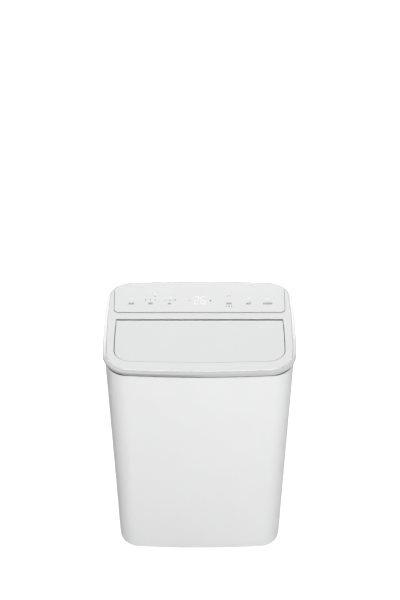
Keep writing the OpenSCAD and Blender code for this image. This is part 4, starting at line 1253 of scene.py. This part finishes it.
@dataclass
class Casing:
    """Front and rear casings, carry handles, grilles, filters, port, drains and screws.

    Attributes:
        shop: the workshop.
        frame_w: width of a filter's moulded frame.
    """

    shop: Workshop
    frame_w: float = 6 * MM

    def build(self) -> None:
        """Dresses the casing."""
        self.shop.dress(CASING_WHITE, "front_casing", "rear_casing", "base_pan", crease=30.0)
        self.shop.dress(
            GRILLE_WHITE, "left_handle", "right_handle", "upper_grille", "lower_grille",
            "exhaust_collar",
        )
        self.shop.dress(
            CHASSIS_GREY, "exhaust_duct", "upper_drain_spout", "lower_drain_spout", "cord_gland"
        )
        self.shop.dress(DARK_PLASTIC, "upper_drain_cap", "lower_drain_cap")
        self.shop.dress(SCREW_STEEL, "casing_screws")
        for name in ("upper_filter", "lower_filter"):
            self.shop.dress(self._net(name), name)

    def _net(self, node: str) -> FilterNet:
        """Net finish fitted to a filter node."""
        low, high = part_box(node)
        middle, half = (low + high) / 2, (high - low) / 2
        field_half = (half.x - self.frame_w, half.z - self.frame_w)
        return FilterNet(f"{node}_net", (middle.x, middle.z), field_half)


# ---- undercarriage ----


@dataclass
class Undercarriage:
    """Four swivel casters below the base pan.

    Attributes:
        shop: the workshop.
        corners: names of the corners.
        hub_share: radius of a hub as a share of the wheel's.
    """

    shop: Workshop
    corners: Sequence[str] = ("fl", "fr", "rl", "rr")
    hub_share: float = 0.62

    def build(self) -> None:
        """Dresses the casters."""
        for corner in self.corners:
            self.shop.dress(CASTER_BLACK, f"caster_yoke_{corner}")
            low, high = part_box(f"caster_wheels_{corner}")
            axle, hub = (low + high) / 2, (high.z - low.z) / 2 * self.hub_share
            finish = WheelRubber(f"wheel_rubber_{corner}", (axle.y, axle.z), hub)
            self.shop.dress(finish, f"caster_wheels_{corner}")


# ---- inside ----


@dataclass
class Inside:
    """Refrigeration circuit, blowers, partition and electrics.

    Attributes:
        shop: the workshop.
        bend_reach: how far the tube bends stand out of a finned block.
    """

    shop: Workshop
    bend_reach: float = 9 * MM

    def build(self) -> None:
        """Dresses everything inside the casing."""
        self.shop.dress(COMPRESSOR_BLACK, "compressor")
        self.shop.dress(RUBBER, "compressor_feet")
        self.shop.dress(COPPER, "refrigerant_pipes")
        for name in ("evaporator", "condenser"):
            low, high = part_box(name)
            half_width = (high.x - low.x) / 2 - self.bend_reach
            self.shop.dress(FinStack(f"{name}_fins", half_width, (high.x + low.x) / 2), name)
        self.shop.dress(
            CHASSIS_GREY, "partition", "evaporator_wheel", "condenser_wheel", "splash_wheel",
            "float_switch",
        )
        self.shop.dress(DARK_PLASTIC, "evaporator_scroll", "condenser_scroll")
        self.shop.dress(
            MOTOR_STEEL, "evaporator_motor", "condenser_motor", "splash_motor", "electrical_box"
        )
        self.shop.dress(BOARD, "circuit_board")
        self.shop.dress(CAN_ALUMINIUM, "capacitor")
        self.shop.dress(GRILLE_WHITE, "float")


# ---- stage ----

WHITE: Triple = (1.0, 1.0, 1.0)
BLACK: Triple = (0.0, 0.0, 0.0)


@dataclass(frozen=True)
class Softbox:
    """A rectangular lamp aimed at the product.

    Attributes:
        name: the lamp's name.
        place: where it hangs.
        aim: what it points at.
        size: width and height.
        power: watts.
        mirrored: whether polished finishes show it.
    """

    name: str
    place: Triple
    aim: Triple
    size: Pair
    power: float
    mirrored: bool = False

    def hang(self) -> None:
        """Adds the lamp to the scene."""
        light = bpy.data.lights.new(self.name, "AREA")
        light.shape = "RECTANGLE"
        light.size, light.size_y = self.size
        light.energy = self.power
        lamp = show(self.name, light)
        way = Vector(self.aim) - Vector(self.place)
        lamp.matrix_world = (
            Matrix.Translation(self.place) @ way.to_track_quat("-Z", "Y").to_matrix().to_4x4()
        )
        lamp.visible_glossy = self.mirrored


@dataclass(frozen=True)
class Card:
    """An even grey card that stands round the set and shows in polished finishes alone.

    Attributes:
        name: the card's name.
        place: its middle.
        turn: its rotation in degrees, from lying flat.
        size: length along its own X and Y.
        level: how bright it is, where white is one.
        fleck: size of its faint unevenness.
    """

    name: str
    place: Triple
    turn: Triple
    size: Pair
    level: float
    fleck: float = 300 * MM

    def stand(self) -> None:
        """Adds the card to the scene."""
        shape = bmesh.new()
        bmesh.ops.create_grid(shape, x_segments=1, y_segments=1, size=0.5)
        bmesh.ops.scale(shape, vec=(*self.size, 1.0), verts=shape.verts)
        shader = Shader(self.name)
        tone = shade(WHITE, self.level)
        shader.set(
            Base_Color=BLACK,
            Emission_Color=shader.tint(shader.noise(self.fleck), tone, 0.98, 1.02),
            Emission_Strength=1.0,
            Roughness=1.0,
        )
        card = meshed(self.name, shape, shader.material)
        card.location = self.place
        card.rotation_euler = [math.radians(angle) for angle in self.turn]
        for ray in ("camera", "diffuse", "shadow", "transmission"):
            setattr(card, f"visible_{ray}", False)


@dataclass
class Stage:
    """Pale floor, world light, softboxes, grey cards and the camera.

    Attributes:
        eye: the camera's place.
        tilt: the camera's tilt from straight down, in degrees.
        lens, sensor: focal length and width of the sensor in millimetres.
        reach: how far the camera sees.
        sky: strength of the world's light ahead, behind and above.
        sky_side: its strength at both sides.
        sky_turn: how far sideways a direction points where the fall begins and ends.
        floor_size: length of the floor's side.
        floor_lift: light added to the floor before the camera.
        floor_tones: darkest and palest colour of the floor.
        lamps: the softboxes.
        cards: the grey cards.
    """

    eye: Triple = (0.000985, -2.30801, 3.00471)
    tilt: float = 45.945
    lens: float = 85.146
    sensor: float = 36.0
    reach: float = 50.0
    sky: float = 0.44
    sky_side: float = 0.07
    sky_turn: Pair = (0.3, 0.7)
    floor_size: float = 14.0
    floor_lift: float = 0.72
    floor_tones: Pair = (0.79, 0.81)
    lamps: Sequence[Softbox] = (
        Softbox("key_softbox", (0.4, -3.4, 2.7), (0.0, 0.0, 0.5), (1.8, 1.4), 97.0),
        Softbox("top_softbox", (0.0, 0.7, 2.3), (0.0, 0.0, 0.7), (1.0, 0.6), 9.2),
        Softbox("back_softbox", (0.0, 3.0, 1.2), (0.0, 0.0, 0.5), (2.4, 1.4), 60.0, True),
    )
    cards: Sequence[Card] = (
        Card("left_card", (-1.8, -0.965, 2.0), (90, 0, 90), (4.87, 4.0), 0.5),
        Card("right_card", (1.8, -0.905, 2.0), (90, 0, 90), (4.99, 4.0), 0.58),
        Card("left_floor_card", (-0.9, -1.27, 0.002), (0, 0, 0), (1.8, 4.26), 0.36),
        Card("right_floor_card", (0.9, -1.235, 0.002), (0, 0, 0), (1.8, 4.33), 0.6),
        Card("front_card", (0.0, -3.4, 2.0), (90, 0, 0), (3.6, 4.0), 0.52),
        Card("ceiling_card", (0.0, -1.45, 4.0), (0, 0, 0), (3.6, 3.9), 0.62),
        Card("left_low_card", (-0.6, -0.295, 1.07), (0, 0, 0), (1.2, 1.21), 0.64),
        Card("right_low_card", (0.6, -0.28, 1.07), (0, 0, 0), (1.2, 1.24), 0.64),
    )

    def build(self) -> None:
        """Sets the stage."""
        self._floor()
        self._sky()
        for lamp in self.lamps:
            lamp.hang()
        for card in self.cards:
            card.stand()
        self._camera()

    def _floor(self) -> None:
        """Lays the floor, lifted to white before the camera so that only shadows show."""
        shape = bmesh.new()
        bmesh.ops.create_grid(shape, x_segments=4, y_segments=4, size=self.floor_size / 2)
        shader = Shader("studio_floor")
        shader.set(
            Base_Color=shader.tint(shader.noise(40 * MM, 4.0), WHITE, *self.floor_tones),
            Roughness=1.0,
            Specular_IOR_Level=0.0,
        )
        lift = shader.add("ShaderNodeEmission", {}, {"Strength": shader.seen() * self.floor_lift})
        paper = Wire(shader, shader.surface.outputs[0])
        shader.finish("Material Output", shader.add("ShaderNodeAddShader", {}, {0: paper, 1: lift}))
        meshed("studio_floor", shape, shader.material)

    def _sky(self) -> None:
        """Lights the world, less from the sides, and shows it white."""
        world = bpy.data.worlds.new("studio")
        world.use_nodes = True
        bpy.context.scene.world = world
        graph = Graph(world.node_tree)
        begins, ends = self.sky_turn
        sideways = graph.math("ABSOLUTE", graph.axes("Generated")[0])
        strength = graph.add(
            "ShaderNodeMapRange",
            {},
            {0: sideways, 1: begins, 2: ends, 3: self.sky, 4: self.sky_side},
        )
        light, white = (
            graph.add("ShaderNodeBackground", {}, {"Color": WHITE, "Strength": level})
            for level in (strength, 1.0)
        )
        shown = graph.add("ShaderNodeMixShader", {}, {0: graph.seen(), 1: light, 2: white})
        graph.finish("World Output", shown)

    def _camera(self) -> None:
        """Places the camera above the front, looking down at the top cover."""
        data = bpy.data.cameras.new("camera")
        data.lens = self.lens
        data.sensor_width = self.sensor
        data.clip_end = self.reach
        camera = show("camera", data)
        camera.location = self.eye
        camera.rotation_euler = (math.radians(self.tilt), 0.0, 0.0)
        bpy.context.scene.camera = camera


# ---- main ----


def main() -> None:
    """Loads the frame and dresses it."""
    logging.basicConfig(level=logging.INFO, format="%(name)s: %(message)s")
    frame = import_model()
    bpy.context.scene.view_settings.view_transform = "Standard"
    shop = Workshop(frame)
    Stage().build()
    for assembly in (
        TopCover(shop), Outlet(shop), Casing(shop), Undercarriage(shop), Inside(shop)
    ):
        assembly.build()
        log.info("%s done", type(assembly).__name__)


if __name__ == "__main__":
    main()
